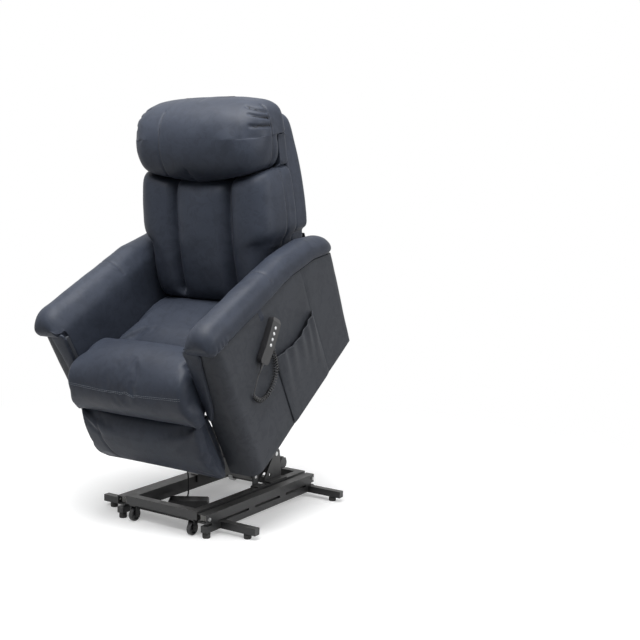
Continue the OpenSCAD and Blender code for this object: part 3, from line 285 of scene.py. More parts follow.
def moulded(name, dark, light, rough):
    """A plain moulded or spun material with a fine sparkle in its surface."""
    f = Finish(name)
    spark = f.mottle(2200, 1)
    cloud = f.mottle(40, 3)
    return f.wear(Base_Color=f.blend(cloud, dark, light), Roughness=rough + 0.12 * cloud,
                  Normal=f.bumped(spark, 0.25, 0.00012))


def sawn_wood():
    f = Finish("sawn_wood")
    along = f.node("Mapping", None, {"Vector": f.at, "Scale": (1.2, 12, 12)})
    rings = f.mottle(9, 4, 0.6, 0.6, at=along)
    pores = f.mottle(160, 2, at=along)
    colour = f.blend(f.between(rings, 0.35, 0.68), (0.36, 0.22, 0.11, 1), (0.62, 0.45, 0.27, 1))
    return f.wear(Base_Color=colour, Roughness=0.6 + 0.15 * pores, Normal=f.bumped(pores, 0.3, 0.0005))


black_steel = powder_coat()
zinc = zinc_plate()
black_plastic = moulded("black_plastic", (0.012, 0.012, 0.013, 1), (0.020, 0.020, 0.022, 1), 0.30)
cord_sheath = moulded("cord_sheath", (0.010, 0.010, 0.011, 1), (0.016, 0.016, 0.017, 1), 0.38)
foot_rubber = moulded("foot_rubber", (0.018, 0.018, 0.018, 1), (0.034, 0.033, 0.032, 1), 0.66)
pale_nylon = moulded("pale_nylon", (0.62, 0.61, 0.57, 1), (0.72, 0.71, 0.68, 1), 0.42)
button_white = moulded("button_white", (0.70, 0.71, 0.72, 1), (0.82, 0.82, 0.82, 1), 0.35)
wood = sawn_wood()
thread = moulded("thread", (0.012, 0.014, 0.020, 1), (0.024, 0.027, 0.036, 1), 0.7)
pale_thread = moulded("pale_thread", (0.10, 0.115, 0.14, 1), (0.16, 0.18, 0.21, 1), 0.6)
# Near-black, for painted shadow lines in the headrest pleats.
pleat_shadow_black = moulded("pleat_shadow_black", (0.004, 0.004, 0.005, 1), (0.006, 0.006, 0.007, 1), 0.9)
print("finishes:", len(bpy.data.materials))

# %% [markdown]
# ## Room
# One large soft lamp overhead does most of the work, so the tops are pale and the
# fronts stay dark, a weaker one lights the side panel, and a faint one in front opens
# the shadows. The backdrop is only white to camera, glossy and transmission rays, so it
# never adds light to the chair. The floor keeps its shadow near the chair and fades
# into the white backdrop far from it.

# %% Floor, lamps and world
def add_lamp(name, at, aim, size, power):
    data = bpy.data.lights.new(name, "AREA")
    data.shape, data.size, data.energy = "SQUARE", size, power
    lamp = bpy.data.objects.new(name, data)
    lamp.location = at
    lamp.rotation_euler = (Vector(aim) - Vector(at)).to_track_quat("-Z", "Y").to_euler()
    scene.collection.objects.link(lamp)
    return lamp


def seen_share(finish):
    """1 for rays that come from the camera, a mirror or a window."""
    camera_ray, glossy_ray, transmission_ray = (
        finish.node("LightPath", out=f"Is {kind} Ray") for kind in ("Camera", "Glossy", "Transmission"))
    return finish.node("Clamp", None, {0: camera_ray + glossy_ray + transmission_ray})


def white_world():
    world = bpy.data.worlds.new("studio")
    world.use_nodes = True
    scene.world = world
    f = Finish.__new__(Finish)
    f.tree = world.node_tree
    dim = f.tree.nodes["Background"]
    dim.inputs[0].default_value = (0.94, 0.97, 1.0, 1)
    dim.inputs[1].default_value = 0.11
    white = f.node("Background", None, {0: (1, 1, 1, 1), 1: 1.0})
    mixed = f.node("MixShader", None, {0: seen_share(f), 1: Wire(f, dim.outputs[0]), 2: white})
    f.tree.links.new(mixed.socket, f.tree.nodes["World Output"].inputs[0])


def white_floor():
    f = Finish("studio_floor")
    f.tree.nodes.remove(f.shader)
    far = f.node("VectorMath", {"operation": "LENGTH"}, {0: f.at}, 1)
    plain = f.node("BsdfDiffuse", None, {0: (0.80, 0.80, 0.80, 1)})
    glow = f.node("Emission", None, {0: (1, 1, 1, 1), 1: 0.30})
    lit = f.node("AddShader", None, {0: plain, 1: glow})
    white = f.node("Emission", None, {0: (1, 1, 1, 1), 1: 1.0})
    seen = f.node("MixShader", None, {0: f.between(far, 1.1, 2.3), 1: lit, 2: white})
    dim = f.node("BsdfDiffuse", None, {0: (0.24, 0.24, 0.24, 1)})
    mixed = f.node("MixShader", None, {0: seen_share(f), 1: dim, 2: seen})
    f.tree.links.new(mixed.socket, f.tree.nodes["Material Output"].inputs[0])
    mesh = bpy.data.meshes.new("studio_floor")
    reach = 30
    corners = [(-reach, -reach, 0), (reach, -reach, 0), (reach, reach, 0), (-reach, reach, 0)]
    mesh.from_pydata(corners, [], [(0, 1, 2, 3)])
    mesh.materials.append(f.material)
    floor = bpy.data.objects.new("studio_floor", mesh)
    scene.collection.objects.link(floor)


white_world()
white_floor()
add_lamp("overhead", (0.3, -1.0, 3.4), aim=(0.0, -0.1, 0.6), size=2.6, power=225)
add_lamp("front_fill", (-2.2, -3.2, 1.8), aim=(0.0, 0.0, 0.7), size=2.0, power=2)
add_lamp("side_fill", (3.2, 0.3, 1.8), aim=(0.2, 0.1, 0.6), size=1.6, power=58)

# %% [markdown]
# ## Lines, loops and shells
# Most soft pieces are a closed outline carried along an axis and drawn in at both
# ends. A smooth outline comes from a few points by a Catmull-Rom curve that is then
# cut into equal steps, so the mesh is an even grid, which cloth and grooves like.

# %% Smooth lines and meshes from rings
def through(points, closed, count):
    """Equal steps along a smooth curve through a few points."""
    p = np.asarray(points, float)
    n = len(p)
    spans = range(n if closed else n - 1)
    pick = (lambda i: p[i % n]) if closed else (lambda i: p[min(max(i, 0), n - 1)])
    t = (np.arange(16) / 16)[:, None]
    parts = [0.5 * (2 * pick(i) + (pick(i + 1) - pick(i - 1)) * t
                    + (2 * pick(i - 1) - 5 * pick(i) + 4 * pick(i + 1) - pick(i + 2)) * t ** 2
                    + (3 * pick(i) - 3 * pick(i + 1) + pick(i + 2) - pick(i - 1)) * t ** 3) for i in spans]
    line = np.concatenate(parts + [[pick(n if closed else n - 1)]])
    far = np.concatenate([[0], np.cumsum(np.linalg.norm(np.diff(line, axis=0), axis=1))])
    at = np.linspace(0, far[-1], count + 1)[:-1] if closed else np.linspace(0, far[-1], count)
    return np.stack([np.interp(at, far, line[:, k]) for k in range(p.shape[1])], 1)


def length_of(line):
    """Length of a line of points, in the units of its points."""
    return float(np.linalg.norm(np.diff(line, axis=0), axis=1).sum())


def add_mesh(name, points, faces, finish, outward=True):
    """A smooth-shaded piece from points in the world."""
    mesh = bpy.data.meshes.new(name)
    mesh.from_pydata([tuple(p) for p in points], [], [tuple(int(i) for i in f) for f in faces])
    mesh.materials.append(finish)
    mesh.polygons.foreach_set("use_smooth", [True] * len(mesh.polygons))
    piece = bpy.data.objects.new(name, mesh)
    scene.collection.objects.link(piece)
    if outward:
        turn_outward(piece)
    return piece


def grid_faces(rows, columns):
    """The four-sided faces of a sheet whose points are stored row by row."""
    return [(j * columns + i, j * columns + i + 1, (j + 1) * columns + i + 1, (j + 1) * columns + i)
            for j in range(rows - 1) for i in range(columns - 1)]


def coords(piece):
    flat = np.empty(len(piece.data.vertices) * 3)
    piece.data.vertices.foreach_get("co", flat)
    return flat.reshape(-1, 3)


def set_coords(piece, points):
    piece.data.vertices.foreach_set("co", np.ascontiguousarray(points, float).ravel())
    piece.data.update()


def turn_outward(piece):
    """Flips a closed mesh whose enclosed volume comes out negative."""
    piece.data.calc_loop_triangles()
    p = coords(piece)
    p = p - p.mean(0)
    tri = np.array([t.vertices[:] for t in piece.data.loop_triangles])
    if np.einsum("ij,ij->i", p[tri[:, 0]], np.cross(p[tri[:, 1]], p[tri[:, 2]])).sum() < 0:
        piece.data.flip_normals()


def shell_of(name, rings, frame_matrix, finish):
    """A closed shell over rings of equal count, with a middle point at each end."""
    rings = np.asarray(rings, float)
    m, n = rings.shape[:2]
    points = np.concatenate([rings.reshape(-1, 3), [rings[0].mean(0), rings[-1].mean(0)]])
    steps = [(a, (a + 1) % n) for a in range(n)]
    last = (m - 1) * n
    faces = [(j * n + a, j * n + b, (j + 1) * n + b, (j + 1) * n + a) for j in range(m - 1) for a, b in steps]
    faces += [(b, a, m * n) for a, b in steps]
    faces += [(last + a, last + b, m * n + 1) for a, b in steps]
    return add_mesh(name, place(frame_matrix, points), faces, finish)


def bolster(outline, half, edge, across, rule=None):
    """Rings of a y, z outline carried along X, rounded over and closed flat at the ends."""
    c = (outline.max(0) + outline.min(0)) / 2
    reach = (outline.max(0) - outline.min(0)) / 2
    inner = half - edge
    ways = [(half, edge, t) for t in np.linspace(0.08, 1, 9)[:-1]]
    ways += [(inner + edge * math.sin(a), edge * (1 - math.cos(a)), 1)
             for a in np.linspace(math.pi / 2, 0, 8)]
    right = [(x, inset, t) for x, inset, t in ways]
    middle = [(x, 0, 1) for x in np.linspace(inner, -inner, across)[1:-1]]
    rows = right + middle + [(-x, inset, t) for x, inset, t in reversed(right)]
    rings = []
    for x, inset, t in rows:
        ring = c + (outline - c) * (1 - inset / reach) * t
        if rule:
            ring = rule(ring, x / half)
        rings.append(np.column_stack([np.full(len(ring), x), ring]))
    return np.array(rings)


def refine(piece):
    """One step of subdivision, kept in the mesh."""
    mod = piece.modifiers.new("smooth", "SUBSURF")
    mod.levels = mod.render_levels = 1
    bake_modifiers(piece)


def bake_modifiers(piece):
    """Puts the evaluated mesh in the piece and takes its modifiers off."""
    graph = bpy.context.evaluated_depsgraph_get()
    mesh = bpy.data.meshes.new_from_object(piece.evaluated_get(graph))
    piece.modifiers.clear()
    piece.data = mesh
    piece.vertex_groups.clear()


print("mesh helpers ready")

# %% [markdown]
# ## The two cords
# The handset's cord leaves its lower end straight, then turns back in curls to a
# grommet in the side panel. The power lead climbs from the brick on the floor to a
# socket under the seat. Each is one tube along the same route as its solid.

# %% Tubes along a line
def tube(name, line, radius, sides, finish):
    """A round tube in the world along a line in the world, with flat ends."""
    line = np.asarray(line, float)
    ahead = np.gradient(line, axis=0)
    ahead /= np.linalg.norm(ahead, axis=1)[:, None]
    across = np.cross(ahead[0], (0.31, 0.52, 0.79))
    rings = []
    turn = np.linspace(0, 2 * math.pi, sides, endpoint=False)[:, None]
    width = np.broadcast_to(np.asarray(radius, float), (len(line),))
    for p, d, r in zip(line, ahead, width):
        across = across - d * (across @ d)
        across /= np.linalg.norm(across)
        rings.append(p + r * (np.cos(turn) * across + np.sin(turn) * np.cross(d, across)))
    return shell_of(name, rings, np.eye(4), finish)


def curls_along(line, start, end, radius, turns, steps=24, widen=12):
    """Points of a helix round a line, from start past its beginning to end before its end."""
    far = np.concatenate([[0], np.cumsum(np.linalg.norm(np.diff(line, axis=0), axis=1))])
    s = np.linspace(0, 1, turns * steps + 1)
    at = start + s * (far[-1] - end - start)
    centre = np.stack([np.interp(at, far, line[:, k]) for k in range(3)], 1)
    d = np.gradient(centre, axis=0)
    d /= np.linalg.norm(d, axis=1)[:, None]
    a = np.cross(d, (1.0, 0, 0))
    a /= np.linalg.norm(a, axis=1)[:, None]
    b = np.cross(d, a)
    r = radius * np.minimum(1, np.minimum(widen * s, widen * (1 - s)))[:, None]
    w = (2 * math.pi * turns * s)[:, None]
    return centre + r * (np.cos(w) * a + np.sin(w) * b)


def route_curve(points, steps):
    """A smooth curve through route points, with the same number of steps between any two."""
    p = np.asarray(points, float)
    out = []
    for i in range(len(p) - 1):
        a, b, c, d = p[max(i - 1, 0)], p[i], p[i + 1], p[min(i + 2, len(p) - 1)]
        for t in np.arange(steps) / steps:
            out.append(0.5 * (2 * b + (c - a) * t + (2 * a - 5 * b + 4 * c - d) * t * t
                              + (3 * b - 3 * c + d - a) * t ** 3))
    return np.array(out + [p[-1]])


print("tube helpers ready")

# %% The handset's cord
handset_tilt = math.radians(24.5)
down = np.array((0, -math.sin(handset_tilt), -math.cos(handset_tilt)))
lead_top = np.array((391.5, 12, 768)) + 182 * down
curls_start = (389, -92, 534)
lead_line = route_curve([lead_top, lead_top + 8 * down, (388, -70, 588), (389, -84, 556),
                         (389, -90, 542), curls_start], 6)
grommet_y, grommet_z = unplace(BASE, place(CHAIR, [(375, 124, 436)]))[0, 1:]
curl_route = [curls_start, (389, -94, 525), (388, -84, 512), (388, -56, 500), (388, -18, 512),
              (388, 16, 544), (388, 32, 586), (389, 24, 626), (389, 14, 650),
              (388, grommet_y + 2, grommet_z + 6), (385, grommet_y, grommet_z), (380, grommet_y, grommet_z)]
curl_base = route_curve(curl_route, 12)
curls = curls_along(curl_base, start=5, end=17, radius=6.4, turns=28)
curl_line = np.concatenate([[curl_base[0]], curls, curl_base[-3:]])
cord_line = place(BASE, np.concatenate([lead_line[:-1], curl_line]))
handset_cord = tube("handset_cord", cord_line, 0.002, 10, cord_sheath)
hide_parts("handset_lead", "curly_cord")
print("handset cord", round(length_of(cord_line), 3), "m")

# %% The power lead
brick_turn = math.radians(33)
brick_along = np.array((math.cos(brick_turn), math.sin(brick_turn), 0))
brick_out = np.array((-math.sin(brick_turn), math.cos(brick_turn), 0))
brick_exit = np.array((-75, 152, 20)) - 18 * brick_along + 44.3 * brick_out
socket = unplace(BASE, place(CHAIR, [(-62, -48, 76)]))[0]
chair_tilt = math.radians(CHAIR_TILT)
socket_up = np.array((0, -math.sin(chair_tilt), math.cos(chair_tilt)))
lead_route = [brick_exit, brick_exit + 7 * brick_out, (-118, 198, 28), (-116, 200, 46), (-110, 192, 90),
              (-101, 174, 135), (-90, 146, 176), (-78, 108, 212), (-68, 74, 236),
              socket - 18 * socket_up, socket - 8 * socket_up, socket]
power_line = place(BASE, route_curve(lead_route, 4))
power_lead = tube("power_lead_sheath", power_line, 0.003, 12, cord_sheath)
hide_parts("power_lead")
relief_long = 0.026
relief_line = through(power_line[:6], False, 12)
relief_line = relief_line[np.linalg.norm(relief_line - relief_line[0], axis=1) < relief_long]
lead_relief = tube("lead_relief", relief_line, np.linspace(0.0054, 0.0033, len(relief_line)), 14, cord_sheath)
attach(lead_relief, "base")
print("power lead", round(length_of(power_line), 3), "m")

# %% [markdown]
# ## Swelling a cushion
# A real cushion is a leather bag pressed out by its foam, held where it is sewn or
# sits on a board. Cloth does the same: the held vertices are pinned, pressure pushes
# the rest out for some frames without gravity, and how far a point may go is capped.
# The result is put in the mesh and the Cloth is taken off.

# %% Swell, press and wrinkle
SWELL_FRAMES = 16


def swell(piece, held, pressure, cap):
    """Presses a piece out by cloth pressure, with some vertices held and a cap on the distance."""
    rest = coords(piece)
    group = piece.vertex_groups.new(name="held")
    group.add([int(i) for i in held], 1.0, "REPLACE")
    mod = piece.modifiers.new("cloth", "CLOTH")
    cloth = mod.settings
    cloth.quality, cloth.mass = 4, 0.3
    cloth.tension_stiffness = cloth.compression_stiffness = 12
    cloth.shear_stiffness, cloth.bending_stiffness = 6, 2.0
    cloth.vertex_group_mass = "held"
    cloth.use_pressure, cloth.uniform_pressure_force = True, pressure
    cloth.effector_weights.gravity = 0
    mod.collision_settings.use_collision = False
    mod.point_cache.frame_start, mod.point_cache.frame_end = 1, SWELL_FRAMES
    for f in range(1, SWELL_FRAMES + 1):
        scene.frame_set(f)
    graph = bpy.context.evaluated_depsgraph_get()
    moved = coords(piece.evaluated_get(graph)) - rest
    far = np.linalg.norm(moved, axis=1)[:, None]
    piece.modifiers.remove(mod)
    piece.vertex_groups.clear()
    scene.frame_set(1)
    set_coords(piece, rest + moved * np.minimum(1, cap / np.maximum(far, 1e-9)))
    print(piece.name, "swelled by up to", round(float(min(far.max(), cap)) * 1000, 1), "mm")


def normals_of(piece):
    flat = np.empty(len(piece.data.vertices) * 3)
    piece.data.vertices.foreach_get("normal", flat)
    return flat.reshape(-1, 3)


def distance_to(points, line):
    """Distance of each point to a line of points, and how far along the line it is nearest."""
    best = np.full(len(points), 1e9)
    along = np.zeros(len(points))
    far = 0.0
    for a, b in zip(line[:-1], line[1:]):
        d = b - a
        size = float(np.linalg.norm(d))
        t = np.clip(((points - a) @ d) / max(size * size, 1e-12), 0, 1)
        dist = np.linalg.norm(points - a - t[:, None] * d, axis=1)
        near = dist < best
        best[near], along[near] = dist[near], (far + t * size)[near]
        far += size
    return best, along


def groove(piece, line, width, depth):
    """Presses a soft valley into a piece along a line in the world."""
    p = coords(piece)
    dist, _ = distance_to(p, line)
    set_coords(piece, p - normals_of(piece) * (depth * np.exp(-(dist / width) ** 2))[:, None])


def gather(piece, line, reach, pitch, depth):
    """Puckers that run away from a sewn line and fade within their reach."""
    p = coords(piece)
    dist, along = distance_to(p, line)
    wave = np.cos(along * 2 * math.pi / pitch + 2.5 * np.sin(along * 23.0))
    fade = np.exp(-(dist / reach) ** 2) * (1 - np.exp(-(dist / (0.12 * reach)) ** 2))
    set_coords(piece, p + normals_of(piece) * (depth * wave * fade)[:, None])


def crumple(piece, size, depth, seed=0.0):
    """Broad, shallow unevenness of leather over foam."""
    p = coords(piece)
    lift = np.array([noise.fractal(Vector(q * size) + Vector((seed, 0, 0)), 1.0, 2.0, 3) for q in p])
    set_coords(piece, p + normals_of(piece) * (depth * lift)[:, None])


def tree_of(piece):
    faces = [tuple(f.vertices) for f in piece.data.polygons]
    return BVHTree.FromPolygons([tuple(p) for p in coords(piece)], faces)


def laid_on(piece, line, lift=0.0):
    """Moves a line in the world onto the nearest skin of a piece, then out by lift."""
    tree = tree_of(piece)
    nearest = [tree.find_nearest(Vector(p)) for p in line]
    return np.array([at + normal * lift for at, normal, _, _ in nearest])


print("cushion helpers ready")

# %% [markdown]
# ## Level rings
# The back cushion, the headrest and the outer back are upright forms whose plan is a
# rectangle with round front corners. One ring is drawn for each height, so the corner
# radius, the depth and the width can change on the way up, as the sewn covers do. A
# rule may lift the ends of the rings, which bends a whole edge into a curve.

# %% Plan rings, and lines cast on a piece
def smooth(t):
    """0 to 1 along an S curve, flat at both ends."""
    t = np.clip(t, 0, 1)
    return t * t * (3 - 2 * t)


def plan_ring(half, front, rear, corner, rear_corner=8.0, bow=5.0, count=150):
    """A rounded rectangle in plan, fuller in front, in equal steps."""
    depth = rear - front
    r, q = min(corner, 0.68 * depth, 0.7 * half), min(rear_corner, 0.28 * depth)
    side = [(half - 0.3 * q, rear - 0.3 * q)]
    side += [(half, y) for y in np.linspace(rear - q, front + r, 5)[:-1]]
    side += [(half - r + r * math.cos(a), front + r - r * math.sin(a))
             for a in np.linspace(0, math.pi / 2, 8)]
    flat = half - r
    across = [(x, front - bow * (1 - (x / flat) ** 2)) for x in np.linspace(flat, -flat, 11)[1:-1]]
    behind = [(x, rear) for x in np.linspace(q - half, half - q, 8)]
    return through(side + across + [(-x, y) for x, y in reversed(side)] + behind, True, count)


def level_rings(levels, rows, rise=None, **shape):
    """Rings at smooth steps through levels of (height, half width, front, rear, corner radius)."""
    rings = []
    for z, half, front, rear, corner in through(levels, False, rows):
        ring = plan_ring(half, front, rear, corner, **shape)
        lifted = z + (rise(ring[:, 0], z) if rise else np.zeros(len(ring)))
        rings.append(np.column_stack([ring, lifted]))
    return np.array(rings)


def cast_on(piece, m, points, aim, lift=0.0):
    """Where straight lines from local points, along a local direction, meet a piece."""
    tree = tree_of(piece)
    way = Vector(m[:3, :3] @ np.array(aim, float)).normalized()
    hits = [tree.ray_cast(Vector(q), way) for q in place(m, points)]
    return np.array([at + normal * lift for at, normal, _, _ in hits if at is not None])


print("level ring helpers ready")

# %% [markdown]
# ## Stitches, drawn by Geometry Nodes
# A row of stitches is one short, rounded stitch repeated along a seam. The tree takes
# the seam as a curve, cuts it in equal steps, sets a stitch on each and turns it along
# the seam. Its inputs are the pitch, the length and the thickness of a stitch.

# %% A tree for stitches
class Tree:
    """A Geometry Nodes tree with named inputs, built one linked node at a time."""

    def __init__(self, name, **inputs):
        self.tree = bpy.data.node_groups.new(name, "GeometryNodeTree")
        face = self.tree.interface
        face.new_socket("Geometry", in_out="INPUT", socket_type="NodeSocketGeometry")
        face.new_socket("Geometry", in_out="OUTPUT", socket_type="NodeSocketGeometry")
        self.inputs = {}
        for key, value in inputs.items():
            kind = "NodeSocketMaterial" if value is None else "NodeSocketFloat"
            socket = face.new_socket(key, in_out="INPUT", socket_type=kind)
            if value is not None:
                socket.default_value = value
            self.inputs[key] = socket.identifier
        self.given = self.tree.nodes.new("NodeGroupInput")

    def node(self, kind, settings=None, sockets=None, out=0):
        n = self.tree.nodes.new(kind)
        for key, value in (settings or {}).items():
            setattr(n, key, value)
        for key, value in (sockets or {}).items():
            if isinstance(value, bpy.types.NodeSocket):
                self.tree.links.new(value, n.inputs[key])
            else:
                n.inputs[key].default_value = value
        return n.outputs[out]

    def close(self, geometry):
        end = self.tree.nodes.new("NodeGroupOutput")
        self.tree.links.new(geometry, end.inputs[0])


def stitch_tree():
    t = Tree("stitches", Pitch=0.008, Stitch=0.0055, Thickness=0.0011, Thread=None)
    given = t.given.outputs
    steps = t.node("GeometryNodeResampleCurve", {"mode": "LENGTH"},
                   {"Curve": given["Geometry"], "Length": given["Pitch"]})
    bar = t.node("GeometryNodeMeshCylinder", {"fill_type": "TRIANGLE_FAN"},
                 {"Vertices": 6, "Radius": 0.5, "Depth": 1.0})
    size = t.node("ShaderNodeCombineXYZ", None,
                  {0: given["Thickness"], 1: given["Thickness"], 2: given["Stitch"]})
    ahead = t.node("GeometryNodeInputTangent")
    turn = t.node("FunctionNodeAlignEulerToVector", {"axis": "Z"}, {"Vector": ahead})
    spots = t.node("GeometryNodeInstanceOnPoints", None,
                   {"Points": steps, "Instance": bar, "Rotation": turn, "Scale": size})
    real = t.node("GeometryNodeRealizeInstances", None, {0: spots})
    shaded = t.node("GeometryNodeSetShadeSmooth", None, {0: real})
    t.close(t.node("GeometryNodeSetMaterial", None, {"Geometry": shaded, "Material": given["Thread"]}))
    return t.tree, t.inputs


STITCHES, STITCH_INPUTS = stitch_tree()


def stitched(name, source, **sizes):
    """Evaluates the stitches on a curve and keeps the result as a plain mesh piece."""
    mod = source.modifiers.new("nodes", "NODES")
    mod.node_group = STITCHES
    for key, value in sizes.items():
        mod[STITCH_INPUTS[key]] = value
    graph = bpy.context.evaluated_depsgraph_get()
    mesh = bpy.data.meshes.new_from_object(source.evaluated_get(graph))
    bpy.data.objects.remove(source)
    piece = bpy.data.objects.new(name, mesh)
    scene.collection.objects.link(piece)
    return piece


def curves_object(name, lines):
    """One curve object with a straight-stepped spline for each line."""
    data = bpy.data.curves.new(name, "CURVE")
    data.dimensions = "3D"
    for line in lines:
        spline = data.splines.new("POLY")
        spline.points.add(len(line) - 1)
        spline.points.foreach_set("co", np.column_stack([line, np.ones(len(line))]).ravel())
    source = bpy.data.objects.new(name, data)
    scene.collection.objects.link(source)
    return source


def sew(name, body, lines, finish):
    """Rows of stitches on a body along lines in the world."""
    source = curves_object(name + "_rows", lines)
    piece = stitched(name, source, Pitch=0.008, Stitch=0.0055, Thickness=0.0011, Thread=finish)
    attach(piece, body)
    print(name, "rides on", body, "with", len(piece.data.polygons), "faces")
    return piece


# %% [markdown]
# ## Seat
# The seat is two pads. The rear one is flat and ends in a fold; the front one is
# crowned, rolls over the front edge and falls to the footrest. Both fill the width
# between the arms, so their sides are kept flat while the top and front swell. Below the
# seat the front pad drops a little at its ends and widens in front of the arms.

# %% Seat cushion and front pad
def pad_held(rings_shape, outline, keep):
    """Indices of a bolster's vertices whose outline point passes a test."""
    m, n = rings_shape
    held = [j * n + i for j in range(m) for i in range(n) if keep(outline[i])]
    return held + [m * n, m * n + 1]


def crown(height, start):
    """A rule that lifts the middle of a pad, above a starting height."""
    return lambda ring, s: ring + np.column_stack(
        [np.zeros(len(ring)), height * (1 - s * s) * np.clip((ring[:, 1] - start) / 60, 0, 1)])


PAD_HALF, PAD_STOP = 254, 255.6  # half the drawn width, and the room that the arms leave


def make_pad(name, outline_points, steps, edge, held, pressure, cap, rule=None):
    """A swollen pad between the arms, drawn as a y, z outline that is cut into steps."""
    outline = through(outline_points, True, steps)
    rings = bolster(outline, PAD_HALF, edge, 56, rule)
    piece = shell_of(name, rings, CHAIR, navy_leather)
    swell(piece, pad_held(rings.shape[:2], outline, held), pressure, cap)
    refine(piece)
    p = unplace(CHAIR, coords(piece))
    p[:, 0] = np.clip(p[:, 0], -PAD_STOP, PAD_STOP)
    set_coords(piece, place(CHAIR, p))
    return piece


deck = 372
seat = make_pad("seat_pad", [
    (27, 410), (28, deck + 14), (40, deck), (200, deck - 1), (394, deck), (405, deck + 16),
    (400, 428), (300, 461), (150, 466), (52, 464), (31, 444)],
    steps=96, edge=20, held=lambda p: p[1] < 440, pressure=4, cap=0.012, rule=crown(6, 400))
front = make_pad("seat_front", [
    (-208, 344), (-227, 382), (-232, 435), (-219, 486), (-180, 518), (-110, 523), (-40, 515),
    (8, 494), (20.5, 440), (20.5, 410), (17, deck + 8), (-60, deck - 1), (-108, deck - 1),
    (-132, deck - 2.5), (-143, deck - 14), (-147, 352), (-172, 343)],
    steps=128, edge=20, held=lambda p: p[0] > -150 and p[1] < 440 or p[1] < 352,
    pressure=5, cap=0.014, rule=crown(7, 430))
p = unplace(CHAIR, coords(front))
p[:, 2] -= 12 * smooth((np.abs(p[:, 0]) - 232) / 16) * smooth((376 - p[:, 2]) / 26)
p[:, 2] = np.maximum(p[:, 2], 341.5)
p[:, 0] *= 1 + 0.075 * smooth((-152 - p[:, 1]) / 26) * smooth((440 - p[:, 2]) / 60)
set_coords(front, place(CHAIR, p))
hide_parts("seat_cushion")
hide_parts("seat_front_pad")
for pad in (seat, front):
    crumple(pad, 9, 0.0016)
print("seat pads have", len(seat.data.polygons), "and", len(front.data.polygons), "faces")

# %% [markdown]
# ## Footrest pad
# Raised, the footrest hangs below the seat as a flat, rounded pad on its board. It is
# made as the seat is, held flat at the back, and then its sides are wrapped round the
# edges of the board. One upright seam runs down near its right side.

# %% Footrest pad
board_y = -165.3
foot = make_pad("footrest_cover", [
    (-168.4, 114), (-181, 102), (-191, 110), (-213, 148), (-225, 206), (-227, 280), (-219, 324),
    (-205, 336.5), (-179, 336.5), (-168.4, 328), (board_y, 210)],
    steps=84, edge=13, held=lambda p: p[0] > -180, pressure=4, cap=0.012)
p = unplace(CHAIR, coords(foot))
p[:, 1] = np.minimum(p[:, 1], board_y)
p[:, 2] = np.clip(p[:, 2], 101, 337.5)
out_at = np.abs(p[:, 0])
p[:, 1] += 42 * smooth((out_at - 238) / 14) * smooth((p[:, 1] + 190) / 26)
p[:, 2] += 9 * smooth((out_at - 236) / 14) * smooth((p[:, 2] - 312) / 16)
p[:, 2] = np.minimum(p[:, 2], 338.5)
p[:, 0] *= 1 + (0.02 + 0.045 * smooth((330 - p[:, 2]) / 160)) * smooth((-158 - p[:, 1]) / 14)
set_coords(foot, place(CHAIR, p))
seam_route = [(-186, -236, 337), (-184, -240, 280), (-176, -236, 200), (-158, -215, 120)]
foot_seam = laid_on(foot, place(CHAIR, through(seam_route, False, 60)))
groove(foot, foot_seam, width=0.006, depth=0.0025)
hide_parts("footrest_pad")
print("footrest pad has", len(foot.data.polygons), "faces")

# %% [markdown]
# ## Back cushion
# The back is one cushion with two deep sewn grooves that make three channels. It is
# widest just above the arms and narrower between them. Level rings give it its plan,
# and its top edge rises towards the ends, where the headrest sits on it. The grooves
# are held while the channels swell between them, then cut deeper.

# %% Back cushion
groove_x = 121.0
board = 37.7  # y of the board that the back is fixed to
BACK_LEVELS = [
    (60, 205, -95, board, 40), (61, 228, -112, board, 44), (66, 240, -128, board, 48),
    (75, 245, -140, board, 52), (100, 250, -155, board, 56), (150, 254, -165, board, 60),
    (200, 255, -168, board, 62), (250, 256, -168, board, 64), (278, 263, -168, board, 66),
    (298, 279, -167, board, 68), (325, 290, -165, board, 70), (380, 291, -160, board, 70),
    (430, 287, -152, board, 66), (465, 281, -143, board, 62), (484, 272, -130, board, 56),
    (493, 264, -110, board, 48), (497, 258, -84, board, 36), (499, 262, -46, board, 20),
    (501, 270, -11, board, 8), (520, 274, -9, board, 8), (580, 274, -9, board, 8),
    (638, 273, -9, board, 8), (647, 271, -8, 37.4, 8), (648, 160, 2, 28, 6)]


def back_rise(x, z):
    """How much higher than its middle the top edge is towards its ends."""
    return 44 * np.abs(x / 280) ** 2.2 * smooth((z - 360) / 125) * (1 - smooth((z - 500) / 70))


def channel_depth(p, deep, wide):
    """How far each local point of the front is drawn in by the two grooves."""
    d = np.abs(np.abs(p[:, 0]) - groove_x)
    valley = np.exp(-(np.sqrt(d * d + 20) - 4.5) / wide)
    return deep * valley * smooth((-30 - p[:, 1]) / 50) * smooth((p[:, 2] - 60) / 50)


back = shell_of("back_cover", level_rings(BACK_LEVELS, 84, back_rise, count=190), BACK, navy_leather)
p = unplace(BACK, coords(back))
by_groove = (np.abs(np.abs(p[:, 0]) - groove_x) < 4) & (p[:, 1] < -60)
p[:, 1] += channel_depth(p, deep=18, wide=24)
set_coords(back, place(BACK, p))
held = (p[:, 1] > 0) | (p[:, 2] > 520) | (p[:, 2] < 64) | by_groove
swell(back, np.nonzero(held)[0], pressure=5, cap=0.014)
refine(back)
p = unplace(BACK, coords(back))
p[:, 1] += channel_depth(p, deep=27, wide=13)
p[:, 1] = np.minimum(p[:, 1], board)
between_arms = p[:, 2] < 262
p[between_arms, 0] = np.clip(p[between_arms, 0], -256, 256)
set_coords(back, place(BACK, p))
crumple(back, 7, 0.0022, seed=3.0)
print("back cushion has", len(back.data.polygons), "faces")

# %% [markdown]
# The thread lies at the bottom of each groove, so its line is cast straight back on to
# the cushion. A seam down each side joins the front of the cover to its narrow gusset.

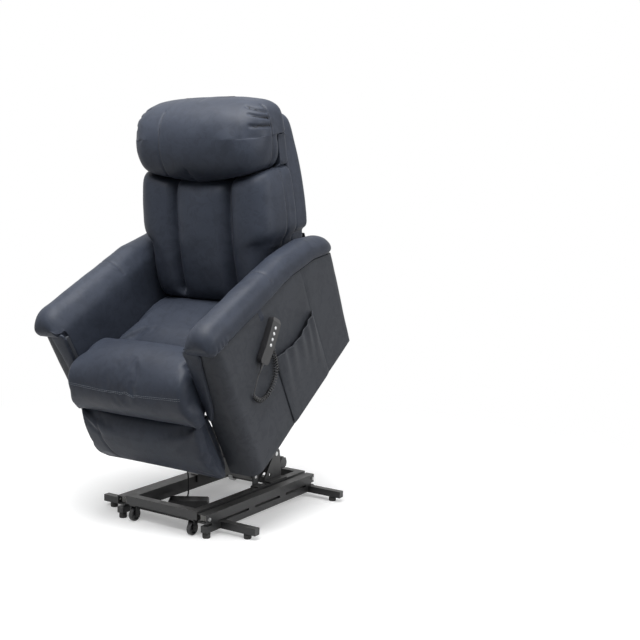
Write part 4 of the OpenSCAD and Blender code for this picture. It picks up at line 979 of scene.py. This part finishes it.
# %% Threads and side seams of the back
def upright(x, y, low, high, count=110):
    """An upright line of points."""
    z = np.linspace(low, high, count)
    return np.column_stack([np.full(count, float(x)), np.full(count, float(y)), z])


groove_lines = [cast_on(back, BACK, upright(s * groove_x, -260, 72, 498), (0, 1, 0), 0.0003) for s in (-1, 1)]
side_seams = [cast_on(back, BACK, upright(s * 400, -22, 262, 520), (-s, 0, 0)) for s in (-1, 1)]
for line in side_seams:
    groove(back, line, width=0.006, depth=0.003)
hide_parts("back_cushion")
print("groove threads run", [round(length_of(g), 3) for g in groove_lines], "m")

# %% [markdown]
# ## Headrest
# The headrest is a deep pillow with a D-shaped section, as wide as the back. It is
# crowned: the middle of its top stands higher and its lower edge hangs lower than at
# the ends. A round end panel is sewn to each end, with three pleats at its upper corner.

# %% Headrest roll
on_cushion = -10.5  # y of the back of the roll where it lies on the cushion's top
HEAD_LEVELS = [
    (500, 150, -108, -50, 30), (500.6, 215, -124, -32, 45), (504, 242, -139, -22, 60),
    (513, 260, -152, -14, 70), (530, 271, -163, on_cushion, 78), (556, 277, -171, on_cushion, 82),
    (592, 280, -176, on_cushion, 84), (645, 280, -175, on_cushion, 84), (652, 280, -174, 34, 84),
    (680, 279, -167, 37, 84), (710, 278, -156, 37, 82), (735, 275, -139, 36, 78),
    (754, 268, -116, 32, 70), (768, 255, -90, 24, 58), (777, 236, -64, 12, 44),
    (781, 210, -44, -2, 26), (782, 130, -30, -16, 8)]


def head_rise(x, z):
    """Lifts the ends of the lower edge and drops the ends of the top."""
    return np.abs(x / 280) ** 2.2 * (40 * (1 - smooth((z - 500) / 190)) - 22 * smooth((z - 590) / 190))


roll_rings = level_rings(HEAD_LEVELS, 72, head_rise, count=190, rear_corner=20)
roll = shell_of("headrest_cover", roll_rings, BACK, navy_leather)
p = unplace(BACK, coords(roll))
held = (p[:, 1] > -12) | ((p[:, 2] < 512) & (p[:, 1] > -100))
swell(roll, np.nonzero(held)[0], pressure=5, cap=0.012)
refine(roll)
p = unplace(BACK, coords(roll))
p[:, 1] = np.minimum(p[:, 1], 37.6)
behind = (p[:, 1] > on_cushion) & (p[:, 2] < 650)
p[behind, 1] = np.minimum(p[behind, 1], on_cushion)
p[:, 0] = np.clip(p[:, 0], -291, 291)
set_coords(roll, place(BACK, p))
end_seams = [cast_on(roll, BACK, upright(s * 400, -54, 540, 752), (-s, 0, 0)) for s in (-1, 1)]
mid_seam = cast_on(roll, BACK, upright(-groove_x, -300, 512, 745), (0, 1, 0))
PLEATS = [(-22, 14, 728, 752), (-22, 34, 706, 729), (-22, 40, 680, 689)]  # degrees, then heights


def pleat_line(side, start, end, low, high):
    """A line round the front corner of the headrest, from the end seam forward and up."""
    tree = tree_of(roll)
    line = []
    for t in np.linspace(0, 1, 26):
        turn, z = math.radians(start + (end - start) * t), low + (high - low) * t
        way = np.array((math.cos(turn), -math.sin(turn), 0))
        centre = np.array((196, -92, z))
        outer, inner = place(BACK, [(centre + 160 * way) * (side, 1, 1), centre * (side, 1, 1)])
        at, _, _, _ = tree.ray_cast(Vector(outer), Vector(inner - outer).normalized())
        line.append(at)
    return np.array(line)


pleat_lines = []
for s, seam_line in zip((-1, 1), end_seams):
    groove(roll, seam_line, width=0.007, depth=0.004)
    for pleat in PLEATS:
        line = pleat_line(s, *pleat)
        groove(roll, line, width=0.0058, depth=0.0060)
        pleat_lines.append(line[:-3])
groove(roll, mid_seam, width=0.005, depth=0.0030)
crumple(roll, 7, 0.0024, seed=7.0)
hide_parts("headrest")
print("headrest has", len(roll.data.polygons), "faces")

# %% [markdown]
# ## Back shell
# Behind the cushion stands the outer back, board under thin foam and leather. It is an
# even 92 mm thick, follows the lean of the back, narrows a little upwards and ends in a
# round top edge. Below the tops of the arms it is narrower, so that it passes between them.

# %% Back shell
fore, aft = 38, 130
SHELL_LEVELS = [
    (250, 236, 62, 108, 6), (250.6, 250, 46, 122, 8), (256, 256, fore, aft, 12), (284, 256.5, fore, aft, 12),
    (300, 276, fore, aft, 12), (330, 281, fore, aft, 12), (420, 279, fore, aft, 12),
    (530, 268, fore, aft, 12), (610, 255, fore, aft, 12), (662, 244, fore, aft, 12),
    (690, 233, 41, 127, 12), (706, 216, 50, 118, 12), (716, 194, 62, 106, 10),
    (721, 166, 74, 94, 6), (722, 110, 80, 88, 3)]
shell_rings = level_rings(SHELL_LEVELS, 70, count=150, rear_corner=20, bow=0)
shell = shell_of("back_shell_cover", shell_rings, BACK, navy_leather)
refine(shell)
crumple(shell, 5, 0.0014, seed=9.0)
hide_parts("back_shell")
print("back shell has", len(shell.data.polygons), "faces")

# %% [markdown]
# ## Arms
# Leather runs in one piece from the seat, up the inside of the arm, over the padded
# top and down to a seam on the outside. Each arm is therefore one lofted skin, whose
# section changes from the round nose in front to the rounded rear end. The nose turns
# up underneath, so it overhangs the panel like the end of a roll.

# %% Arm skins
NOSE_TIP, ARM_REAR = -168, 611
WALL_FROM = -129  # y where the padded inner wall of the arm starts


def under_pad(y):
    """Height of the underside of the arm's padded top."""
    return float(np.interp(y, [-146, 330, 480, 602], [596, 594, 572, 529]))


def rounding(y, start, reach):
    """0 past the rounded end, growing like a quarter circle to 1 at its tip."""
    t = min(max(1 - abs(y - start) / reach, 0.0), 0.996)
    return 1 - math.sqrt(1 - t * t)


def arm_section(y):
    """Closed x, z section of the left arm at a distance along the arm."""
    ahead, below = rounding(y, NOSE_TIP, 74), rounding(y, NOSE_TIP, 26)
    behind = rounding(y, ARM_REAR, 58)
    under = under_pad(y) + 0.3
    full = 94 - 0.02 * (y + 150) - 0.00002 * max(y - 200, 0) ** 2
    top_z = under + full - (full - 38) * ahead - 0.46 * full * behind
    z = under + 38 * below + 0.24 * full * behind
    high = top_z - z
    draw = 24 * rounding(y, NOSE_TIP, 52) + 22 * behind
    left = 262 + draw + (0 if y < 430 else 0.10 * (y - 430))
    right = 390 - draw
    w = right - left
    top = [(left + 0.02 * w, z + 0.22 * high), (left + 0.10 * w, z + 0.52 * high),
           (left + 0.26 * w, z + 0.84 * high), (right - 0.50 * w, z + high),
           (right - 0.22 * w, z + 0.94 * high), (right - 5, z + 0.66 * high), (right, z + 0.34 * high),
           (right - 3, z + 0.10 * high), (right - 12, z)]
    inside = left + 27
    if y > WALL_FROM:
        low = 150 + 23 * (y + 127) / 700
        up = [(258.3 + 3.0 * max(0, (q - 430) / 150), q) for q in np.linspace(low, under - 20, 26)]
        back_wall = [(285, (z - 3) + (low - z + 3) * t) for t in np.linspace(0, 1, 12)]
    else:
        up = [(left + 0.08 * w, z + 0.45 * high * t) for t in np.linspace(0, 1, 26)]
        back_wall = [(inside + (left + 0.08 * w - inside) * t, z) for t in np.linspace(0, 0.96, 12)]
    top = through(np.array([up[-1]] + top), False, 58)[1:]
    beneath = [(x, z) for x in np.linspace(right - 14, inside + 2, 12)]
    return np.array(up + list(top) + beneath + back_wall)


nose_steps = np.array((0, 0.5, 1.5, 3.5, 6.5, 10.5, 15.5, 21, 27, 33, 38.5, 39.5))
rear_steps = np.array((85, 73, 61, 50, 40, 31, 23, 16, 10, 6, 3, 1, 0.2))
arm_y = np.concatenate([NOSE_TIP + nose_steps, np.arange(-120, 520, 8), ARM_REAR - rear_steps])


def arm_skin(side):
    sections = [(y, arm_section(y)) for y in arm_y]
    rings = np.array([np.column_stack([side * s[:, 0], np.full(len(s), y), s[:, 1]]) for y, s in sections])
    name = SIDE_NAME[side]
    piece = shell_of("arm_cover_" + name, rings, CHAIR, navy_leather)
    refine(piece)
    gathered = through([(386, -140, 604), (390, -110, 600), (391, -70, 600)], False, 40)
    nose = laid_on(piece, place(CHAIR, gathered * (side, 1, 1)))
    gather(piece, nose, reach=0.020, pitch=0.023, depth=0.0022)
    crumple(piece, 7, 0.0022, seed=11.0 * side)
    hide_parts("arm_pad_" + name, "inner_arm_" + name)
    return piece


arms = {side: arm_skin(side) for side in SIDE_NAME}
print("arm skins have", [len(a.data.polygons) for a in arms.values()], "faces")

# %% [markdown]
# ## Side panels
# The outside of the arm is a flat panel of board under thin foam, whose leather wraps
# round the front corner. The panel is drawn as one sheet in plan, carried up from its
# slanted lower edge to its top, then given its thickness and softened edges.

# %% Side panels
PANEL_LOW, PANEL_LOW_LONG = -137, 715  # y of the front end of the lower edge, and its length
PANEL_TOP, PANEL_TOP_LONG = -146, 748
PANEL_X, FRONT_CORNER, REAR_CORNER = 375.0, 38.0, 12.0
# Shares of the way round the plan: end of the front, of its corner, of the side, of the rear corner.
AT_FRONT, AT_CORNER, AT_SIDE, AT_REAR = 0.10, 0.22, 0.86, 0.92


def panel_foot(y):
    """Height of the slanted lower edge of a panel."""
    return 89 + (y - PANEL_LOW) * 72 / PANEL_LOW_LONG


def panel_plan(u):
    """The x, the stretch and the distance or share in it of a point of the plan."""
    front_x, inner_x, rear_x = PANEL_X - FRONT_CORNER, 257.6, 263
    if u < AT_FRONT:
        return inner_x + (front_x - inner_x) * u / AT_FRONT, "front", 0.0
    if u < AT_CORNER:
        a = (u - AT_FRONT) / (AT_CORNER - AT_FRONT) * math.pi / 2
        return front_x + FRONT_CORNER * math.sin(a), "front", FRONT_CORNER * (1 - math.cos(a))
    if u < AT_SIDE:
        return PANEL_X, "side", (u - AT_CORNER) / (AT_SIDE - AT_CORNER)
    if u < AT_REAR:
        a = (u - AT_SIDE) / (AT_REAR - AT_SIDE) * math.pi / 2
        return PANEL_X - REAR_CORNER * (1 - math.cos(a)), "rear", REAR_CORNER * (1 - math.sin(a))
    side_x = PANEL_X - REAR_CORNER
    return side_x - (side_x - rear_x) * (u - AT_REAR) / (1 - AT_REAR), "rear", 0.0


def along_edge(start, long, stretch, d):
    """The y of a point of the plan on an edge of a given start and length."""
    if stretch == "front":
        return start + d
    if stretch == "rear":
        return start + long - d
    return start + FRONT_CORNER + (long - FRONT_CORNER - REAR_CORNER) * d


def panel_point(u, v):
    """A point of the panel, u round its plan and v up."""
    x, stretch, d = panel_plan(u)
    low_y = along_edge(PANEL_LOW, PANEL_LOW_LONG, stretch, d)
    top_y = along_edge(PANEL_TOP, PANEL_TOP_LONG, stretch, d)
    low_z, high_z = panel_foot(low_y), under_pad(top_y) - 1
    foam = 2.2 * math.sin(math.pi * min(max(v, 0), 1)) ** 0.5
    foam += 6 * smooth((v - 0.6) / 0.34) * (1 - smooth((v - 0.95) / 0.05) * 0.5)
    if stretch == "side":
        x += foam
    elif stretch == "front":
        x += foam * math.sin(math.radians(90 * min(d / FRONT_CORNER, 1)))
    return x, low_y + (top_y - low_y) * v, low_z + (high_z - low_z) * v


def panel_skin(side):
    stops, counts = (0, AT_FRONT, AT_CORNER, AT_SIDE, AT_REAR), (8, 12, 81, 5)
    us = [np.linspace(a, b, n, endpoint=False) for a, b, n in zip(stops, stops[1:], counts)]
    us = np.concatenate(us + [np.linspace(AT_REAR, 1, 9)])
    grid = np.array([[panel_point(u, v) for u in us] for v in np.linspace(0, 1, 58)])
    grid[:, :, 0] *= side
    faces = grid_faces(*grid.shape[:2])
    if side < 0:
        faces = [f[::-1] for f in faces]
    points = place(CHAIR, grid.reshape(-1, 3))
    piece = add_mesh("panel_cover_" + SIDE_NAME[side], points, faces, panel_leather, outward=False)
    crumple(piece, 6, 0.0016, seed=5.0 * side)
    wall = piece.modifiers.new("board", "SOLIDIFY")
    wall.thickness, wall.offset = 0.014, -1
    edge = piece.modifiers.new("edge", "BEVEL")
    edge.width, edge.segments, edge.limit_method, edge.angle_limit = 0.003, 2, "ANGLE", math.radians(60)
    bake_modifiers(piece)
    return piece


panels = {side: panel_skin(side) for side in SIDE_NAME}
for side, panel in panels.items():
    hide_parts("side_panel_" + SIDE_NAME[side])
print("panels have", [len(a.data.polygons) for a in panels.values()], "faces")

# %% [markdown]
# ## Arm facings
# A long teardrop pad covers the front of each arm below its nose. It tapers to a
# round tip and is edged with a fine welt.

# %% Teardrop facings
FACING_STEPS = [(1.0, 0.0), (1.0, 3.0), (0.985, 5.5), (0.95, 7.6), (0.88, 9.0), (0.76, 10.0), (0.6, 10.8),
                (0.4, 11.3), (0.2, 11.6), (0.06, 11.7)]  # share of the outline, height of the padding


def facing_edge(count=90):
    """The teardrop outline, in x and z."""
    return through([(262, 610), (259.5, 560), (259.3, 500), (259.3, 430), (259.3, 380), (260, 340),
                    (265, 324), (273, 328), (284, 350), (294, 380), (302, 430), (308, 490), (314, 545),
                    (319, 604)], True, count)


def panel_front(z):
    """The y of the front of the panels, which leans forward a little on its way up."""
    return PANEL_LOW - (z - 89) * 9 / 507


def facing(side):
    edge = facing_edge()
    middle = np.interp(edge[:, 1], [324, 400, 592], [268, 281, 290])
    axis = np.column_stack([middle, np.clip(edge[:, 1], 336, 596)])
    rings = []
    for share, up in FACING_STEPS:
        x, z = (axis + (edge - axis) * share).T
        rings.append(np.column_stack([side * x, panel_front(z) - up, z]))
    name = SIDE_NAME[side]
    piece = shell_of("facing_cover_" + name, rings, CHAIR, navy_leather)
    refine(piece)
    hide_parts("arm_facing_" + name)
    return piece


def facing_welt(side):
    """A fine piped cord round the outer edge of a facing."""
    x, z = facing_edge(120).T
    below = z < 596
    line = np.column_stack([side * x, panel_front(z) - 2.7, z])[below]
    welt = tube("facing_welt_" + SIDE_NAME[side], place(CHAIR, line), 0.0021, 8, navy_leather)
    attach(welt, "chair")


facings = {side: facing(side) for side in SIDE_NAME}
for side in SIDE_NAME:
    facing_welt(side)
print("facings ready, each welt", round(length_of(facing_edge()) / 1000, 2), "m")

# %% [markdown]
# ## Side pocket
# A gathered leather pocket is sewn on the left panel. Elastic in its hem draws the
# mouth in, so folds fan down from it and the mouth stands off the panel.

# %% Gathered pocket
def hide_sheet(name, grid):
    """A sheet of leather with its thickness, from rows of points on the chair."""
    piece = add_mesh(name, place(CHAIR, grid.reshape(-1, 3)), grid_faces(*grid.shape[:2]), panel_leather)
    wall = piece.modifiers.new("hide", "SOLIDIFY")
    wall.thickness, wall.offset = 0.0022, 0
    bake_modifiers(piece)
    return piece


def pocket_grid(rows=48, count=120):
    """Rows from the foot of the pocket to its sagging mouth, with more fold on each."""
    s = np.linspace(0, 1, count)
    y = 122 + s * 266
    low = panel_foot(y) + 4
    edge = np.minimum(1, 12 * np.minimum(s, 1 - s)) ** 0.6
    grid = []
    for r in np.linspace(0, 1, rows):
        belly = 3 + 9 * math.sin(math.pi * 0.62 * r ** 1.6) ** 2
        wave = np.cos(2 * math.pi * 5.5 * s + 1.8 * (1 - r) + 1.2 * np.sin(7 * s))
        folds = 5.2 * r ** 2.2 * (0.5 + 0.5 * wave)
        sag = 22 * np.sin(math.pi * s) ** 2 * r
        z = low + r * (400 + 16 * s - sag - low)
        grid.append(np.column_stack([378.2 + edge * (belly + folds), y, z]))
    return np.array(grid)


pocket_rows = pocket_grid()
pocket = hide_sheet("pocket_cover", pocket_rows)
refine(pocket)
hem = tube("pocket_hem", place(CHAIR, pocket_rows[-1] + (0.6, 0, -1)), 0.0026, 10, panel_leather)
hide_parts("side_pocket")
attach(hem, "chair")
print("pocket made of", len(pocket_rows), "rows")

# %% [markdown]
# ## Holster tab
# The handset hangs on a leather tab that comes out of the seam under the arm pad.

# %% Holster tab
def tab_rings(y=118, half=11.5, round_from=536):
    """Sections down a tab that bows off the panel and ends in a half circle."""
    rings = []
    bow = [(0.8, 596), (3.5, 585), (6.0, 568), (4.2, 550), (2.6, round_from), (1.6, 524)]
    for lift, z in through(bow, False, 30):
        w = half if z > round_from else max(1.2, math.sqrt(max(0, half ** 2 - (round_from - z) ** 2)))
        x = 376.4 + lift
        rings.append([(x - 1.2, y - w, z), (x + 0.4, y - w, z), (x + 1.3, y - w + 1.5, z), (x + 1.6, y, z),
                      (x + 1.3, y + w - 1.5, z), (x + 0.4, y + w, z), (x - 1.2, y + w, z), (x - 1.4, y, z)])
    return rings


strap = shell_of("holster_tab", tab_rings(), CHAIR, navy_leather)
refine(strap)
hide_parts("holster_strap")
print("tab ready")

# %% [markdown]
# ## Rear skirt
# A sheet of leather closes the gap between the back and the rear rail. It hangs in
# shallow waves, as a cut sheet does when it is held at the top only.

# %% Rear skirt
skirt_line = through([(584.3, 215), (584.3, 311), (612, 380), (634, 490), (640, 582)], False, 60)
xs = np.linspace(-250, 250, 90)
skirt_rows = []
for k, (y, z) in enumerate(skirt_line):
    wave = 2.2 * np.sin(xs / 38 + 0.3 * np.sin(z / 60)) * math.sin(math.pi * k / (len(skirt_line) - 1))
    skirt_rows.append(np.column_stack([xs, y + 1.5 + wave * (z > 320), np.full(len(xs), z)]))
skirt = hide_sheet("skirt_cover", np.array(skirt_rows))
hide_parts("rear_skirt")
print("skirt is", round(length_of(skirt_line)), "mm long")

# %% [markdown]
# ## Seams and welts
# A sewn seam reads as a thin dark line in a shallow valley, and a welt as a fine
# raised cord. Both are thin tubes that lie on the skin they belong to.

# %% Seam lines
def seam(name, body, piece, line, radius=0.0011, lift=-0.0002, finish=thread):
    """A thread that lies a little sunk in the skin of a piece."""
    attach(tube(name, laid_on(piece, line, lift), radius, 8, finish), body)


for k, line in enumerate(groove_lines):
    seam(f"back_groove_thread_{k}", "backrest", back, line, radius=0.0012)
for k, line in enumerate(side_seams):
    seam(f"back_side_seam_{k}", "backrest", back, line, radius=0.0010)
for k, line in enumerate(end_seams):
    seam(f"headrest_end_seam_{k}", "backrest", roll, line)
# The pleats get near-black tubes: painted shadow lines deep in their folds.
for k, line in enumerate(pleat_lines):
    seam(f"headrest_pleat_shadow_{k}", "backrest", roll, line, radius=0.0013, lift=-0.0004, finish=pleat_shadow_black)
seam("headrest_mid_seam_0", "backrest", roll, mid_seam)
seam("footrest_seam", "footrest", foot, foot_seam)

# %% Twin stitches across the front pad
def front_row(z):
    """A line across the front pad at one height."""
    route = [(-250, -236, z), (-120, -250, z), (0, -252, z), (120, -250, z), (250, -236, z)]
    return laid_on(front, place(CHAIR, through(route, False, 120)), 0.0002)


sew("seat_front_stitches", "chair", [front_row(z) for z in (474, 467)], pale_thread)

# %% Seams of the panels and arms
def panel_seam(side, y, low, high):
    """An upright seam on the outside of a panel."""
    line = cast_on(panels[side], CHAIR, upright(side * 450, y, low, high, 90), (-side, 0, 0))
    groove(panels[side], line, width=0.0045, depth=0.0018)
    seam(f"panel_seam_{SIDE_NAME[side]}_{y}", "chair", panels[side], line, radius=0.0009)


for side, arm in arms.items():
    panel_seam(side, 390, 150, 582)
    panel_seam(side, 124, 122, 392)
    over = cast_on(arm, CHAIR, [(side * x, 215, 800) for x in np.linspace(270, 388, 50)], (0, 0, -1))
    groove(arm, over, width=0.005, depth=0.002)
    seam("arm_cross_seam_" + SIDE_NAME[side], "chair", arm, over, radius=0.0009)
print("seams done")

# %% [markdown]
# ## Finishes on the frame
# The CAD solids that stay are given the finish of the part they are.

# %% Finish each kept solid
FINISHES = [
    (black_steel, "base_rail_left base_rail_right front_cross_bar rear_cross_bar rolling_frame wheel_forks "
                  "lift_towers lift_arms lift_links lift_top_frame mechanism_plates foot_lower_links "
                  "foot_upper_links foot_guide_links back_frame"),
    (zinc, "rail_bolts lower_pivot_pins upper_pivot_pins lift_actuator_rod recline_actuator_rod "
           "seat_springs"),
    (black_plastic, "power_brick power_socket lift_actuator_body recline_actuator_body holster_hook "
                    "cord_grommet handset_body handset_gland wheel_left wheel_right"),
    (foot_rubber, "rubber_feet"),
    (pale_nylon, "slide_blocks"),
    (button_white, "button_one button_two button_three button_four"),
    (wood, "seat_frame rear_rail footrest_board"),
]
kept = [(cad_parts[name], finish) for finish, names in FINISHES for name in names.split()]
for node, finish in kept:
    node.data.materials.clear()
    node.data.materials.append(finish)
print("finished", len(kept), "solids")

# %% [markdown]
# ## What moves with what
# Soft pieces ride on their bodies. The handset's cord and the skirt are baked in place in
# the world, and the power lead stays on the base.

# %% Ride on bodies
for piece in (seat, front, pocket, strap, *arms.values(), *panels.values(), *facings.values()):
    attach(piece, "chair")
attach(foot, "footrest")
for piece in (back, roll, shell):
    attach(piece, "backrest")
tuple(place(CHAIR, [(0, 600, 330)])[0])
tuple(place(CHAIR, [(0, 638, 575)])[0])
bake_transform(skirt)
tuple(place(BASE, [curls_start])[0])
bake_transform(handset_cord)
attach(power_lead, "base")
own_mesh(power_lead)
